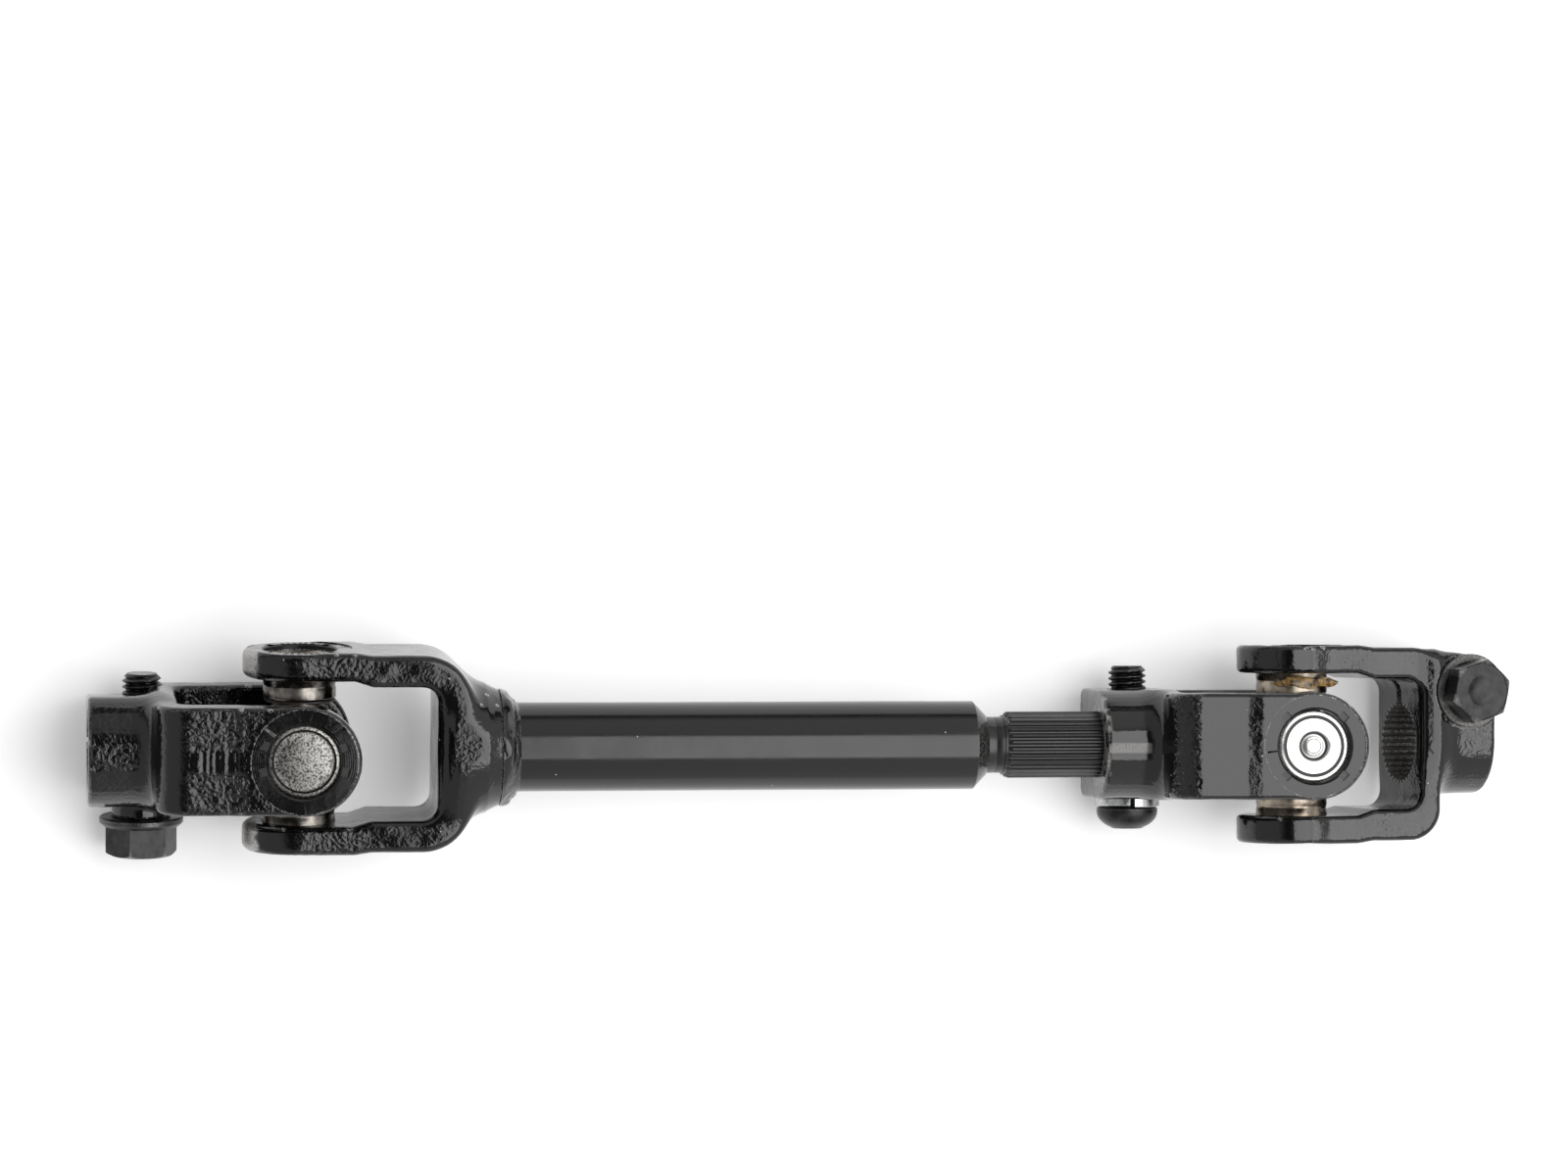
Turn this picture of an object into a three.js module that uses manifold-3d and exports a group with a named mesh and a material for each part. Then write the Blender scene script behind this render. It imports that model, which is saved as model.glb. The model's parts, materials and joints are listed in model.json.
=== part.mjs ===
// Universal joint shaft: two Cardan joints, one at each end of a round shaft with a splined slip end.
//
// Frame, in millimetres: +X runs along the shaft from the column-side clamp to the gear-side clamp, +Z is up
// from the surface that the shaft lies on, and the origin is on the shaft's centre line, midway between the
// centres of the two crosses.
//
// Every yoke is built in the same local frame: the cross centre is its origin, +X points away from the cross
// along the yoke, the ears stand at +Z and -Z, and a clamp yoke has its bolt across Y on the -Z side.

import * as THREE from 'three';
import { mergeVertices } from 'three/addons/utils/BufferGeometryUtils.js';
import Module from 'manifold-3d';

const wasm = await Module();
wasm.setup();

// ---- Driving dimensions -------------------------------------------------------------------------------

const fitGap = 0.3; // between pieces that touch, rest on or turn in each other
const arcStep = 18; // degrees from point to point on a rounded corner
const roundSides = 24; // sides of a turned surface

const layout = {
  jointSpacing: 210.1, // cross centre to cross centre, at the slip joint's stored position
  columnPhase: 6.6, // degrees that the column joint is rolled about the shaft
  gearYokeDroop: 10, // degrees that the gear-side yoke hangs below the shaft's line
};

// Ears, shared by all four yokes.
const ear = {
  outerFace: 21, // from the cross centre to the machined outer face
  thickness: 6,
  radius: 11.2,
  tipOffset: 0.5, // the round end's centre stands this far beyond the pin axis
  spotFaceRadius: 10.8,
  spotFaceDepth: 0.35,
};

// Arms, the strap between ear and fork base.
const arm = {
  outerStep: 0.6, // the arm's outer face lies this far below the ear's
  thickness: 6.6,
  halfWidth: 11.1,
  blendStart: 10.6, // from the pin axis to where the ear begins to blend into the arm
  blendEnd: 13.4,
};

// Needle-bearing cups and what they hold.
const cup = {
  radius: 7.5,
  recess: 1.5, // from the ear's outer face down to the cup's
  mouthStandoff: 3.1, // from the sides of the neighbouring cups to this cup's mouth
  wall: 0.95,
  floor: 1.9,
  edgeChamfer: 0.5,
};
const trunnion = { radius: 4.45, shoulderRadius: 6.1, shoulderGap: 0.9, tipChamfer: 0.5 };
const needles = { count: 12, fluteDepth: 0.35 };
const seal = { lipDepth: 1.4, flange: 0.55, flangeInset: 0.25 };
const spiderCore = { radius: 7.4, facets: 8 };

// Pinch-clamp yokes. bossRadius is also the clamp's half width across the bolt.
const columnClamp = {
  baseInner: 25.3,
  baseWall: 4.5,
  outerCorner: 6.6,
  innerCorner: 3.4,
  end: 43.3,
  bossRadius: 12,
  bossFillet: 3,
  boreCrest: 8.1,
  toothHeight: 0.6,
  teeth: 36,
  boltX: 32,
  boltBite: 0.5, // how far the bolt stands into the bore, in the groove of the shaft that it clamps
  lugBeyondBolt: 7.1,
  slit: 2.4,
  seatPad: { radius: 6.1, height: 4 }, // forged pad that lifts the bolt's flange off the lug
  tipDraft: { inset: 0.96, slope: 6.6 }, // forging draft on the side of the bolt's tip
};
const slipClamp = {
  baseInner: 25.3,
  baseWall: 4.5,
  outerCorner: 6.6,
  innerCorner: 3.4,
  end: 42.1,
  bossRadius: 11.6,
  bossFillet: 3,
  boltX: 33.2,
  lugBeyondBolt: 6.7,
  slit: 2.4,
};
const gearClamp = {
  baseInner: 25.3,
  baseWall: 4.5,
  outerCorner: 6.6,
  innerCorner: 3.4,
  end: 42.5,
  bossRadius: 11.1,
  bossFillet: 3,
  boreCrest: 8.1,
  toothHeight: 0.6,
  teeth: 36,
  boltX: 36.3,
  boltBite: 0.9,
  lugBeyondBolt: 8.2,
  slit: 2.4,
  noseCut: [[-11, -1.2], [-3, 1.2], [1, 5]], // slope of the lug's far corner, from the corner itself
};

// Weld yoke at the tube's column end.
const weldYoke = {
  baseInner: 28,
  baseWall: 7,
  outerCorner: 10,
  innerCorner: 3.4,
  hubRadius: 13.2,
  hubStraight: 3.2,
  hubNoseRadius: 12,
  hubEnd: 41.3,
  spigotLength: 9,
};
const weldBead = { length: 4.6, crown: 0.7, steps: 3 };

// Tube and splined stub.
const tube = { radius: 9.3, wall: 3, coneAngle: 46, mouthRim: 0.5, lipLength: 2, lipRamp: 1 };
const stub = {
  neckRadius: 5.9,
  neckLength: 3.6,
  spigotLength: 22, // inside the tube
  crestRadius: 6.95,
  toothHeight: 0.6,
  teeth: 30,
  exposedSpline: 20.6, // spline seen between the neck and the slip yoke
  endRecess: 0.7, // from the slip yoke's fork base back to the stub's end
  endChamfer: 0.6,
};
const splineClearance = 0.2;
const clampCorner = 2.2; // bevel along the two far edges of a clamp boss

// Fasteners, all M8.
const thread = { radius: 4, holeClearance: 0.35, tipChamfer: 0.8 };
const flangeBolt = { acrossFlats: 13, headHeight: 8.2, flangeRadius: 8.7, flangeHeight: 1.6, tail: 2.1 };
const buttonScrew = { headRadius: 6.5, headHeight: 4.6, socketAcrossFlats: 5, socketDepth: 2.6, tail: 4.8 };
const lockWasher = { radius: 6.9, thickness: 2, split: 1 };
const hexBolt = { acrossFlats: 12, headHeight: 5.3, tail: 4.4 };
const plainWasher = { radius: 7.8, thickness: 1.2 };
const boltSeat = { clearance: 0.5, depth: 0.4 }; // flat cut round each bolt hole on the head's side

// ---- Sizes that follow --------------------------------------------------------------------------------

const earInner = ear.outerFace - ear.thickness;
const armOuter = ear.outerFace - arm.outerStep;
const armInner = armOuter - arm.thickness;
const cupFace = ear.outerFace - cup.recess;
const cupMouth = cup.radius + cup.mouthStandoff;
const cupBore = cup.radius - cup.wall;
const trunnionEnd = cupFace - cup.floor - fitGap;
const halfSpacing = layout.jointSpacing / 2;
const slipBossFace = halfSpacing - slipClamp.end;
const splineStart = slipBossFace - stub.exposedSpline;
const tubeStart = -halfSpacing + weldYoke.hubEnd + fitGap;
const tubeEnd = splineStart - stub.neckLength;
const stubEnd = halfSpacing - slipClamp.baseInner - stub.endRecess;
const boltHoleRadius = thread.radius + thread.holeClearance;
const tubeBore = tube.radius - tube.wall;
const tubeMouth = stub.neckRadius + fitGap;
const columnBoltOffset = columnClamp.boreCrest + thread.radius - columnClamp.boltBite;
const slipBoltOffset = stub.crestRadius + thread.radius + fitGap;
const gearBoltOffset = gearClamp.boreCrest + thread.radius - gearClamp.boltBite;

// ---- Solids -------------------------------------------------------------------------------------------

// Turn a closed three.js geometry into a solid that can be joined and cut.
function solid(geometry) {
  const bare = geometry.clone();
  bare.deleteAttribute('normal');
  bare.deleteAttribute('uv');
  const merged = mergeVertices(bare, 1e-4);
  const index = merged.index.array;
  const triangles = [];
  for (let i = 0; i < index.length; i += 3) {
    const [a, b, c] = [index[i], index[i + 1], index[i + 2]];
    if (a !== b && b !== c && c !== a) triangles.push(a, b, c);
  }
  return new wasm.Manifold(
    new wasm.Mesh({
      numProp: 3,
      vertProperties: merged.attributes.position.array,
      triVerts: Uint32Array.from(triangles),
    }),
  );
}

// Turn a finished solid back into a geometry for a mesh.
function geometryOf(manifold) {
  const { vertProperties, triVerts } = manifold.getMesh();
  const geometry = new THREE.BufferGeometry();
  geometry.setAttribute('position', new THREE.BufferAttribute(vertProperties, 3));
  geometry.setIndex(new THREE.BufferAttribute(triVerts, 1));
  geometry.computeVertexNormals();
  return geometry;
}

// Points along an arc, from one angle to another in degrees.
function arc(x, y, radius, from, to) {
  const steps = Math.max(1, Math.round(Math.abs(to - from) / arcStep));
  const points = [];
  for (let step = 0; step <= steps; step += 1) {
    const angle = THREE.MathUtils.degToRad(from + ((to - from) * step) / steps);
    points.push([x + radius * Math.cos(angle), y + radius * Math.sin(angle)]);
  }
  return points;
}

function outline(...points) {
  return new THREE.Shape(points.map(([x, y]) => new THREE.Vector2(x, y)));
}

function extruded(shape, depth) {
  return new THREE.ExtrudeGeometry(shape, { depth, bevelEnabled: false });
}

// An outline drawn in X-Z, carried across Y and centred on Y = 0.
function acrossY(shape, width) {
  return solid(extruded(shape, width).rotateX(Math.PI / 2).translate(0, width / 2, 0));
}

// An outline drawn in Y-Z, carried along X from one place to another.
function alongX(shape, from, to) {
  const geometry = extruded(shape, to - from);
  return solid(geometry.rotateX(Math.PI / 2).rotateZ(Math.PI / 2).translate(from, 0, 0));
}

// An outline drawn in X-Y, carried along Z and centred on Z = 0.
function alongZ(shape, height) {
  return solid(extruded(shape, height).translate(0, 0, -height / 2));
}

function box(from, to) {
  const size = to.map((value, axis) => value - from[axis]);
  const geometry = new THREE.BoxGeometry(...size);
  return solid(geometry.translate(...from.map((value, axis) => value + size[axis] / 2)));
}

const turnedAxis = {
  x: (geometry) => geometry.rotateZ(-Math.PI / 2),
  y: (geometry) => geometry,
  z: (geometry) => geometry.rotateX(Math.PI / 2),
};

// A turned piece from [radius, distance] pairs, listed so that the surface closes on itself or on the axis.
function turnedGeometry(profile, axis, sides = roundSides) {
  const points = profile.map(([radius, distance]) => new THREE.Vector2(radius, distance));
  return turnedAxis[axis](new THREE.LatheGeometry(points, sides));
}

function turned(profile, axis, sides = roundSides) {
  return solid(turnedGeometry(profile, axis, sides));
}

// A plain round bar on an axis through the origin.
function bar(radius, from, to, axis, sides = roundSides) {
  return turned([[0, from], [radius, from], [radius, to], [0, to]], axis, sides);
}

// A straight-sided spline: every tooth narrows from its root to its crest.
function splineOutline({ teeth, crestRadius, toothHeight }, clearance) {
  const rootRadius = crestRadius - toothHeight;
  const pitch = (2 * Math.PI) / teeth;
  const extra = clearance / crestRadius;
  const crestHalf = 0.15 * pitch + extra;
  const rootHalf = 0.3 * pitch + extra;
  const points = [];
  const add = (radius, angle) => points.push([radius * Math.cos(angle), radius * Math.sin(angle)]);
  for (let tooth = 0; tooth < teeth; tooth += 1) {
    const middle = tooth * pitch;
    add(rootRadius + clearance, middle - rootHalf);
    add(crestRadius + clearance, middle - crestHalf);
    add(crestRadius + clearance, middle + crestHalf);
    add(rootRadius + clearance, middle + rootHalf);
  }
  return outline(...points);
}

// The splined bore of an end clamp, which takes a shaft of another assembly.
function boreOutline({ teeth, boreCrest, toothHeight }) {
  return splineOutline({ teeth, toothHeight, crestRadius: boreCrest + toothHeight }, 0);
}

function hexagonOutline(acrossFlats) {
  const corner = acrossFlats / Math.sqrt(3);
  const points = [];
  for (let side = 0; side < 6; side += 1) {
    const angle = (side * Math.PI) / 3;
    points.push([corner * Math.cos(angle), corner * Math.sin(angle)]);
  }
  return outline(...points);
}

// ---- Yokes --------------------------------------------------------------------------------------------

// The U-shaped strap: two ears, two arms and the fork base, with a round end at each ear.
function forkStrap({ baseInner, baseWall, outerCorner, innerCorner }) {
  const tip = -(ear.radius + ear.tipOffset);
  const baseOuter = baseInner + baseWall;
  const outerX = baseOuter - outerCorner;
  const outerZ = armOuter - outerCorner;
  const innerX = baseInner - innerCorner;
  const innerZ = armInner - innerCorner;
  const profile = outline(
    [tip, earInner],
    [tip, ear.outerFace],
    [arm.blendStart, ear.outerFace],
    [arm.blendEnd, armOuter],
    ...arc(outerX, outerZ, outerCorner, 90, 0),
    ...arc(outerX, -outerZ, outerCorner, 0, -90),
    [arm.blendEnd, -armOuter],
    [arm.blendStart, -ear.outerFace],
    [tip, -ear.outerFace],
    [tip, -earInner],
    [arm.blendStart, -earInner],
    [arm.blendEnd, -armInner],
    ...arc(innerX, -innerZ, innerCorner, -90, 0),
    ...arc(innerX, innerZ, innerCorner, 0, 90),
    [arm.blendEnd, armInner],
    [arm.blendStart, earInner],
  );
  const reach = ear.outerFace + 1;
  const earEnd = bar(ear.radius, -reach, reach, 'z', 32).translate([-ear.tipOffset, 0, 0]);
  const plan = box([0, -arm.halfWidth, -reach], [baseOuter + 1, arm.halfWidth, reach]).add(earEnd);
  return acrossY(profile, 2 * (ear.radius + arm.halfWidth)).intersect(plan);
}

// Holes for the two cups, with a shallow machined face round each on the outside.
function earCuts() {
  const reach = ear.outerFace + 1;
  const bore = bar(cup.radius + fitGap, -reach, reach, 'z');
  const ringOutside = ear.radius + ear.tipOffset + 2;
  const spot = turned(
    [
      [ear.spotFaceRadius, ear.outerFace - ear.spotFaceDepth],
      [ringOutside, ear.outerFace - ear.spotFaceDepth],
      [ringOutside, reach],
      [ear.spotFaceRadius, reach],
      [ear.spotFaceRadius, ear.outerFace - ear.spotFaceDepth],
    ],
    'z',
  );
  const tipSide = box([-ringOutside, -ringOutside, -reach], [arm.blendStart, ringOutside, reach]);
  const faces = spot.add(spot.rotate([180, 0, 0])).intersect(tipSide);
  return bore.add(faces);
}

// A clamp boss: round on the side away from the bolt and square-shouldered on the bolt's side.
function clampBoss(clamp, boltOffset) {
  const { baseInner, baseWall, end, bossRadius, bossFillet, lugBeyondBolt, outerCorner } = clamp;
  const lugEnd = -(boltOffset + lugBeyondBolt);
  const section = outline(
    ...arc(0, 0, bossRadius, 0, 180),
    [-bossRadius, lugEnd + clampCorner],
    [-bossRadius + clampCorner, lugEnd],
    [bossRadius - clampCorner, lugEnd],
    [bossRadius, lugEnd + clampCorner],
  );
  let boss = alongX(section, baseInner + 0.5, end);
  if (clamp.seatPad) {
    const { radius, height } = clamp.seatPad;
    const pad = bar(radius, bossRadius / 2, bossRadius + height, 'y');
    boss = boss.add(pad.translate([clamp.boltX, 0, -boltOffset]));
  }
  if (clamp.tipDraft) {
    const { inset, slope } = clamp.tipDraft;
    const sideAt = (z) => inset - bossRadius - z * Math.tan(THREE.MathUtils.degToRad(slope));
    const high = bossRadius / 2;
    const low = lugEnd - 2;
    const waste = [[-2 * bossRadius, high], [-2 * bossRadius, low], [sideAt(low), low], [sideAt(high), high]];
    boss = boss.subtract(alongX(outline(...waste), baseInner, end + 1));
  }
  if (clamp.noseCut) {
    const slope = clamp.noseCut.map(([x, z]) => [end + x, lugEnd + z]);
    const waste = outline(...slope, [end + 1, lugEnd - 6], [slope[0][0], lugEnd - 6]);
    boss = boss.subtract(acrossY(waste, 4 * bossRadius));
  }

  // The forging's fillet where the boss leaves the fork base.
  const root = baseInner + baseWall;
  const flareRadius = bossRadius + bossFillet;
  const curve = arc(flareRadius, root + bossFillet, bossFillet, -90, -180).map(([radius, x]) => [radius, x]);
  const flare = [[0, root - 1], [flareRadius, root - 1], ...curve, [0, root + bossFillet]];
  const sides = box([root - 2, -arm.halfWidth, 0], [end, arm.halfWidth, armOuter - outerCorner + 2]);
  return boss.add(turned(flare, 'x').intersect(sides));
}

// Where the bolt's seat lies, measured from the middle of the clamp.
function seatHeight({ bossRadius, seatPad }) {
  return bossRadius + (seatPad ? seatPad.height : 0) - boltSeat.depth;
}

// Everything machined into a clamp yoke: spline, slit, bolt hole and the bolt head's seat.
function clampCuts(clamp, boltOffset, splined, headRadius) {
  const { baseInner, end, bossRadius, lugBeyondBolt, slit, boltX } = clamp;
  const below = ear.outerFace + boltOffset + lugBeyondBolt;
  const bore = alongX(splined, baseInner - 2, end + 1);
  const gap = box([baseInner, -slit / 2, -below], [end + 1, slit / 2, 0]);
  const top = seatHeight(clamp);
  const hole = bar(boltHoleRadius, -bossRadius - 1, top + 1, 'y', 20);
  const seat = bar(headRadius + boltSeat.clearance, top, top + 4, 'y');
  return bore.add(gap).add(hole.add(seat).translate([boltX, 0, -boltOffset]));
}

function clampYoke(clamp, boltOffset, splined, headRadius) {
  const forging = forkStrap(clamp).add(clampBoss(clamp, boltOffset));
  return forging.subtract(earCuts()).subtract(clampCuts(clamp, boltOffset, splined, headRadius));
}

// The weld yoke ends in a round hub with a spigot that centres the tube.
function weldYokeSolid() {
  const { baseInner, baseWall, hubRadius, hubStraight, hubNoseRadius, hubEnd, spigotLength } = weldYoke;
  const hubStart = baseInner + 1;
  const spigot = tubeBore - fitGap;
  const hub = turned(
    [
      [0, hubStart],
      [hubRadius, hubStart],
      [hubRadius, baseInner + baseWall + hubStraight],
      [hubNoseRadius, hubEnd],
      [spigot, hubEnd],
      [spigot, hubEnd + spigotLength - 1],
      [spigot - 1, hubEnd + spigotLength],
      [0, hubEnd + spigotLength],
    ],
    'x',
  );
  return forkStrap(weldYoke).add(hub).subtract(earCuts());
}

// ---- Bearings and crosses -----------------------------------------------------------------------------

// Drawn steel cup on +Z. Its end is either a low dome inside a rim or a flat with turned rings.
function cupGeometry(end) {
  const face = cupFace;
  const rim = cup.radius - cup.edgeChamfer;
  const ends = {
    domed: [[rim, face], [rim - 1.3, face - 0.6], [0, face]],
    ringed: [[rim, face], [2.9, face], [2, face - 0.6], [0, face - 0.5]],
  };
  return turnedGeometry(
    [
      [0, face - cup.floor],
      [cupBore, face - cup.floor],
      [cupBore, cupMouth],
      [cup.radius, cupMouth],
      [cup.radius, face - cup.edgeChamfer],
      ...ends[end],
    ],
    'z',
    20,
  );
}

// Rubber seal: a lip inside the cup's mouth and a flange that covers its rim.
function sealGeometry() {
  const inner = trunnion.radius + fitGap;
  const flangeTop = cupMouth - fitGap;
  return turnedGeometry(
    [
      [inner, cupMouth + seal.lipDepth],
      [inner, flangeTop - seal.flange],
      [cup.radius - seal.flangeInset, flangeTop - seal.flange],
      [cup.radius - seal.flangeInset, flangeTop],
      [cupBore - fitGap, flangeTop],
      [cupBore - fitGap, cupMouth + seal.lipDepth],
      [inner, cupMouth + seal.lipDepth],
    ],
    'z',
    20,
  );
}

// Full complement of needle rollers, joined into one fluted ring.
function needleRing() {
  const inner = trunnion.radius + fitGap;
  const outer = cupBore - fitGap;
  const from = cupMouth + seal.lipDepth + fitGap;
  const to = cupFace - cup.floor - fitGap;
  const steps = 2 * needles.count;
  const points = [];
  for (let step = 0; step < steps; step += 1) {
    const radius = step % 2 ? outer - needles.fluteDepth : outer;
    const angle = (step * 2 * Math.PI) / steps;
    points.push([radius * Math.cos(angle), radius * Math.sin(angle)]);
  }
  const ring = alongZ(outline(...points), to - from).translate([0, 0, (to + from) / 2]);
  return ring.subtract(bar(inner, from - 1, to + 1, 'z', 20));
}

// One of the cross's two through-bars, with a shoulder on each side of the core.
function trunnionPair(axis) {
  const shoulder = cupMouth - fitGap - seal.flange - trunnion.shoulderGap;
  const { radius, shoulderRadius, tipChamfer } = trunnion;
  return turned(
    [
      [0, -trunnionEnd], [radius - tipChamfer, -trunnionEnd], [radius, -trunnionEnd + tipChamfer],
      [radius, -shoulder - 0.6], [shoulderRadius, -shoulder], [shoulderRadius, shoulder],
      [radius, shoulder + 0.6], [radius, trunnionEnd - tipChamfer],
      [radius - tipChamfer, trunnionEnd], [0, trunnionEnd],
    ],
    axis,
    20,
  );
}

function spiderSolid() {
  const core = solid(new THREE.SphereGeometry(spiderCore.radius, 2 * spiderCore.facets, spiderCore.facets));
  return core.add(trunnionPair('y')).add(trunnionPair('z'));
}

// ---- Shaft --------------------------------------------------------------------------------------------

// Round tube with a coned end whose lip closes in on the stub's neck.
function tubeGeometry() {
  const rim = tubeMouth + tube.mouthRim;
  const coneLength = (tube.radius - rim) / Math.tan(THREE.MathUtils.degToRad(tube.coneAngle));
  return turnedGeometry(
    [
      [tubeBore, tubeStart],
      [tube.radius, tubeStart],
      [tube.radius, tubeEnd - coneLength],
      [rim, tubeEnd],
      [tubeMouth, tubeEnd],
      [tubeMouth, tubeEnd - tube.lipLength],
      [tubeBore, tubeEnd - tube.lipLength - tube.lipRamp],
      [tubeBore, tubeStart],
    ],
    'x',
    32,
  );
}

// Fillet of weld metal over the corner between hub and tube.
function weldGeometry() {
  const hubFace = -halfSpacing + weldYoke.hubEnd;
  const inner = tube.radius + fitGap;
  const top = weldYoke.hubNoseRadius;
  const start = hubFace + fitGap;
  const profile = [[inner, start]];
  for (let step = 0; step <= weldBead.steps; step += 1) {
    const share = step / weldBead.steps;
    const crown = weldBead.crown * Math.sin(Math.PI * share);
    profile.push([top + (inner + 0.2 - top) * share + crown, start + weldBead.length * share + crown]);
  }
  profile.push([inner, start + weldBead.length], [inner, start]);
  return turnedGeometry(profile, 'x', 28);
}

// Spigot in the tube's bore, neck through its lip, then the splines.
function stubSolid() {
  const { crestRadius, endChamfer, neckRadius, spigotLength, toothHeight } = stub;
  const spigotRadius = tubeBore - fitGap;
  const spigotEnd = tubeEnd - tube.lipLength - tube.lipRamp;
  const plain = turned(
    [
      [0, tubeEnd - spigotLength],
      [spigotRadius, tubeEnd - spigotLength],
      [spigotRadius, spigotEnd],
      [neckRadius, spigotEnd + tube.lipRamp],
      [neckRadius, splineStart + 1],
      [0, splineStart + 1],
    ],
    'x',
  );
  const teeth = alongX(splineOutline(stub, 0), splineStart, stubEnd);
  const ends = turned(
    [
      [0, splineStart - 1],
      [crestRadius - toothHeight, splineStart - 1],
      [crestRadius - toothHeight, splineStart],
      [crestRadius, splineStart + endChamfer],
      [crestRadius, stubEnd - endChamfer],
      [crestRadius - endChamfer, stubEnd],
      [0, stubEnd],
    ],
    'x',
  );
  return teeth.intersect(ends).add(plain);
}

// ---- Fasteners ----------------------------------------------------------------------------------------

// A threaded shank from the head's seat to its tip; heads stand on +Y.
function shank(seat, tip) {
  const { radius, tipChamfer } = thread;
  const top = seat + 1;
  const point = radius - tipChamfer;
  return turned([[0, tip], [point, tip], [radius, tip + tipChamfer], [radius, top], [0, top]], 'y');
}

// A hexagon head whose outer corners are turned off to a cone.
function hexHead(acrossFlats, from, to) {
  const corner = acrossFlats / Math.sqrt(3);
  const flat = acrossFlats / 2;
  const prism = acrossY(hexagonOutline(acrossFlats), to - from).translate([0, (from + to) / 2, 0]);
  const chamfer = (corner - flat) * Math.tan(Math.PI / 6) + 0.3;
  const cone = [[0, from], [corner, from], [corner, to - chamfer], [flat - 0.2, to], [0, to]];
  return prism.intersect(turned(cone, 'y', 36));
}

function flangeBoltSolid(clamp) {
  const seat = seatHeight(clamp) + fitGap;
  const { acrossFlats, headHeight, flangeRadius, flangeHeight, tail } = flangeBolt;
  const flange = turned(
    [
      [0, seat],
      [flangeRadius - 0.3, seat],
      [flangeRadius, seat + 0.5],
      [flangeRadius, seat + 0.9],
      [acrossFlats / 2 + 0.6, seat + flangeHeight + 0.6],
      [0, seat + flangeHeight + 0.6],
    ],
    'y',
  );
  const head = hexHead(acrossFlats, seat + flangeHeight - 0.4, seat + headHeight);
  return flange.add(head).add(shank(seat, -clamp.bossRadius - tail));
}

function buttonScrewSolid(clamp) {
  const seat = clamp.bossRadius - boltSeat.depth + lockWasher.thickness + 2 * fitGap;
  const { headRadius, headHeight, socketAcrossFlats, socketDepth, tail } = buttonScrew;
  const profile = [[0, seat], [headRadius - 0.3, seat], [headRadius, seat + 0.4]];
  for (let step = 1; step <= 6; step += 1) {
    const angle = (step / 6) * THREE.MathUtils.degToRad(62);
    const top = Math.sin(THREE.MathUtils.degToRad(62));
    profile.push([headRadius * Math.cos(angle), seat + 0.4 + ((headHeight - 0.4) * Math.sin(angle)) / top]);
  }
  profile.push([0, seat + headHeight]);
  const socket = acrossY(hexagonOutline(socketAcrossFlats), socketDepth + 1);
  const socketY = seat + headHeight - socketDepth / 2 + 0.5;
  const head = turned(profile, 'y').add(shank(seat, -clamp.bossRadius - tail));
  return head.subtract(socket.translate([0, socketY, 0]));
}

function lockWasherSolid(clamp) {
  const from = clamp.bossRadius - boltSeat.depth + fitGap;
  const to = from + lockWasher.thickness;
  const { radius, split } = lockWasher;
  const ring = bar(radius, from, to, 'y').subtract(bar(boltHoleRadius, from - 1, to + 1, 'y'));
  return ring.subtract(box([-split / 2, from - 1, 0], [split / 2, to + 1, radius + 1]));
}

function hexBoltSolid(clamp) {
  const seat = clamp.bossRadius - boltSeat.depth + plainWasher.thickness + 2 * fitGap;
  const { acrossFlats, headHeight, tail } = hexBolt;
  return hexHead(acrossFlats, seat, seat + headHeight).add(shank(seat, -clamp.bossRadius - tail));
}

function plainWasherSolid(clamp) {
  const from = clamp.bossRadius - boltSeat.depth + fitGap;
  const to = from + plainWasher.thickness;
  return bar(plainWasher.radius, from, to, 'y').subtract(bar(boltHoleRadius, from - 1, to + 1, 'y'));
}

// ---- Finishes -----------------------------------------------------------------------------------------

const finishes = {
  enamel: { color: 0x131415, roughness: 0.28, metalness: 0.0 },
  blackOxide: { color: 0x1b1b1c, roughness: 0.5, metalness: 0.7 },
  weldMetal: { color: 0x101010, roughness: 0.35, metalness: 0.0 },
  cupSteel: { color: 0xc9c9c8, roughness: 0.25, metalness: 1.0 },
  brightSteel: { color: 0xaaa9a6, roughness: 0.35, metalness: 1.0 },
  zinc: { color: 0xd6d8da, roughness: 0.3, metalness: 1.0 },
  rubber: { color: 0x17130f, roughness: 0.8, metalness: 0.0 },
};

function piece(name, geometry, finish) {
  const mesh = new THREE.Mesh(geometry, new THREE.MeshStandardMaterial(finishes[finish]));
  mesh.name = name;
  return mesh;
}

// ---- Assembly -----------------------------------------------------------------------------------------

// The bearing set in a yoke's two ears: on each side a cup, its needles and its seal.
function bearings(prefix, end) {
  const set = new THREE.Group();
  for (const side of ['upper', 'lower']) {
    const pair = new THREE.Group();
    pair.add(piece(`${prefix}_${side}_cup`, cupGeometry(end), 'cupSteel'));
    pair.add(piece(`${prefix}_${side}_needles`, geometryOf(needleRing()), 'brightSteel'));
    pair.add(piece(`${prefix}_${side}_seal`, sealGeometry(), 'rubber'));
    if (side === 'lower') pair.rotation.x = Math.PI;
    set.add(pair);
  }
  return set;
}

// Put fasteners on a clamp's bolt axis.
function onBoltAxis(clamp, boltOffset, ...pieces) {
  const axis = new THREE.Group();
  axis.position.set(clamp.boltX, 0, -boltOffset);
  axis.add(...pieces);
  return axis;
}

const facingColumn = (yoke) => {
  yoke.rotation.z = Math.PI;
  return yoke;
};

// Column end: clamp yoke, cross and the weld yoke that carries the shaft.
const columnJoint = new THREE.Group();
columnJoint.position.x = -halfSpacing;
columnJoint.rotation.x = THREE.MathUtils.degToRad(layout.columnPhase);

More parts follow.
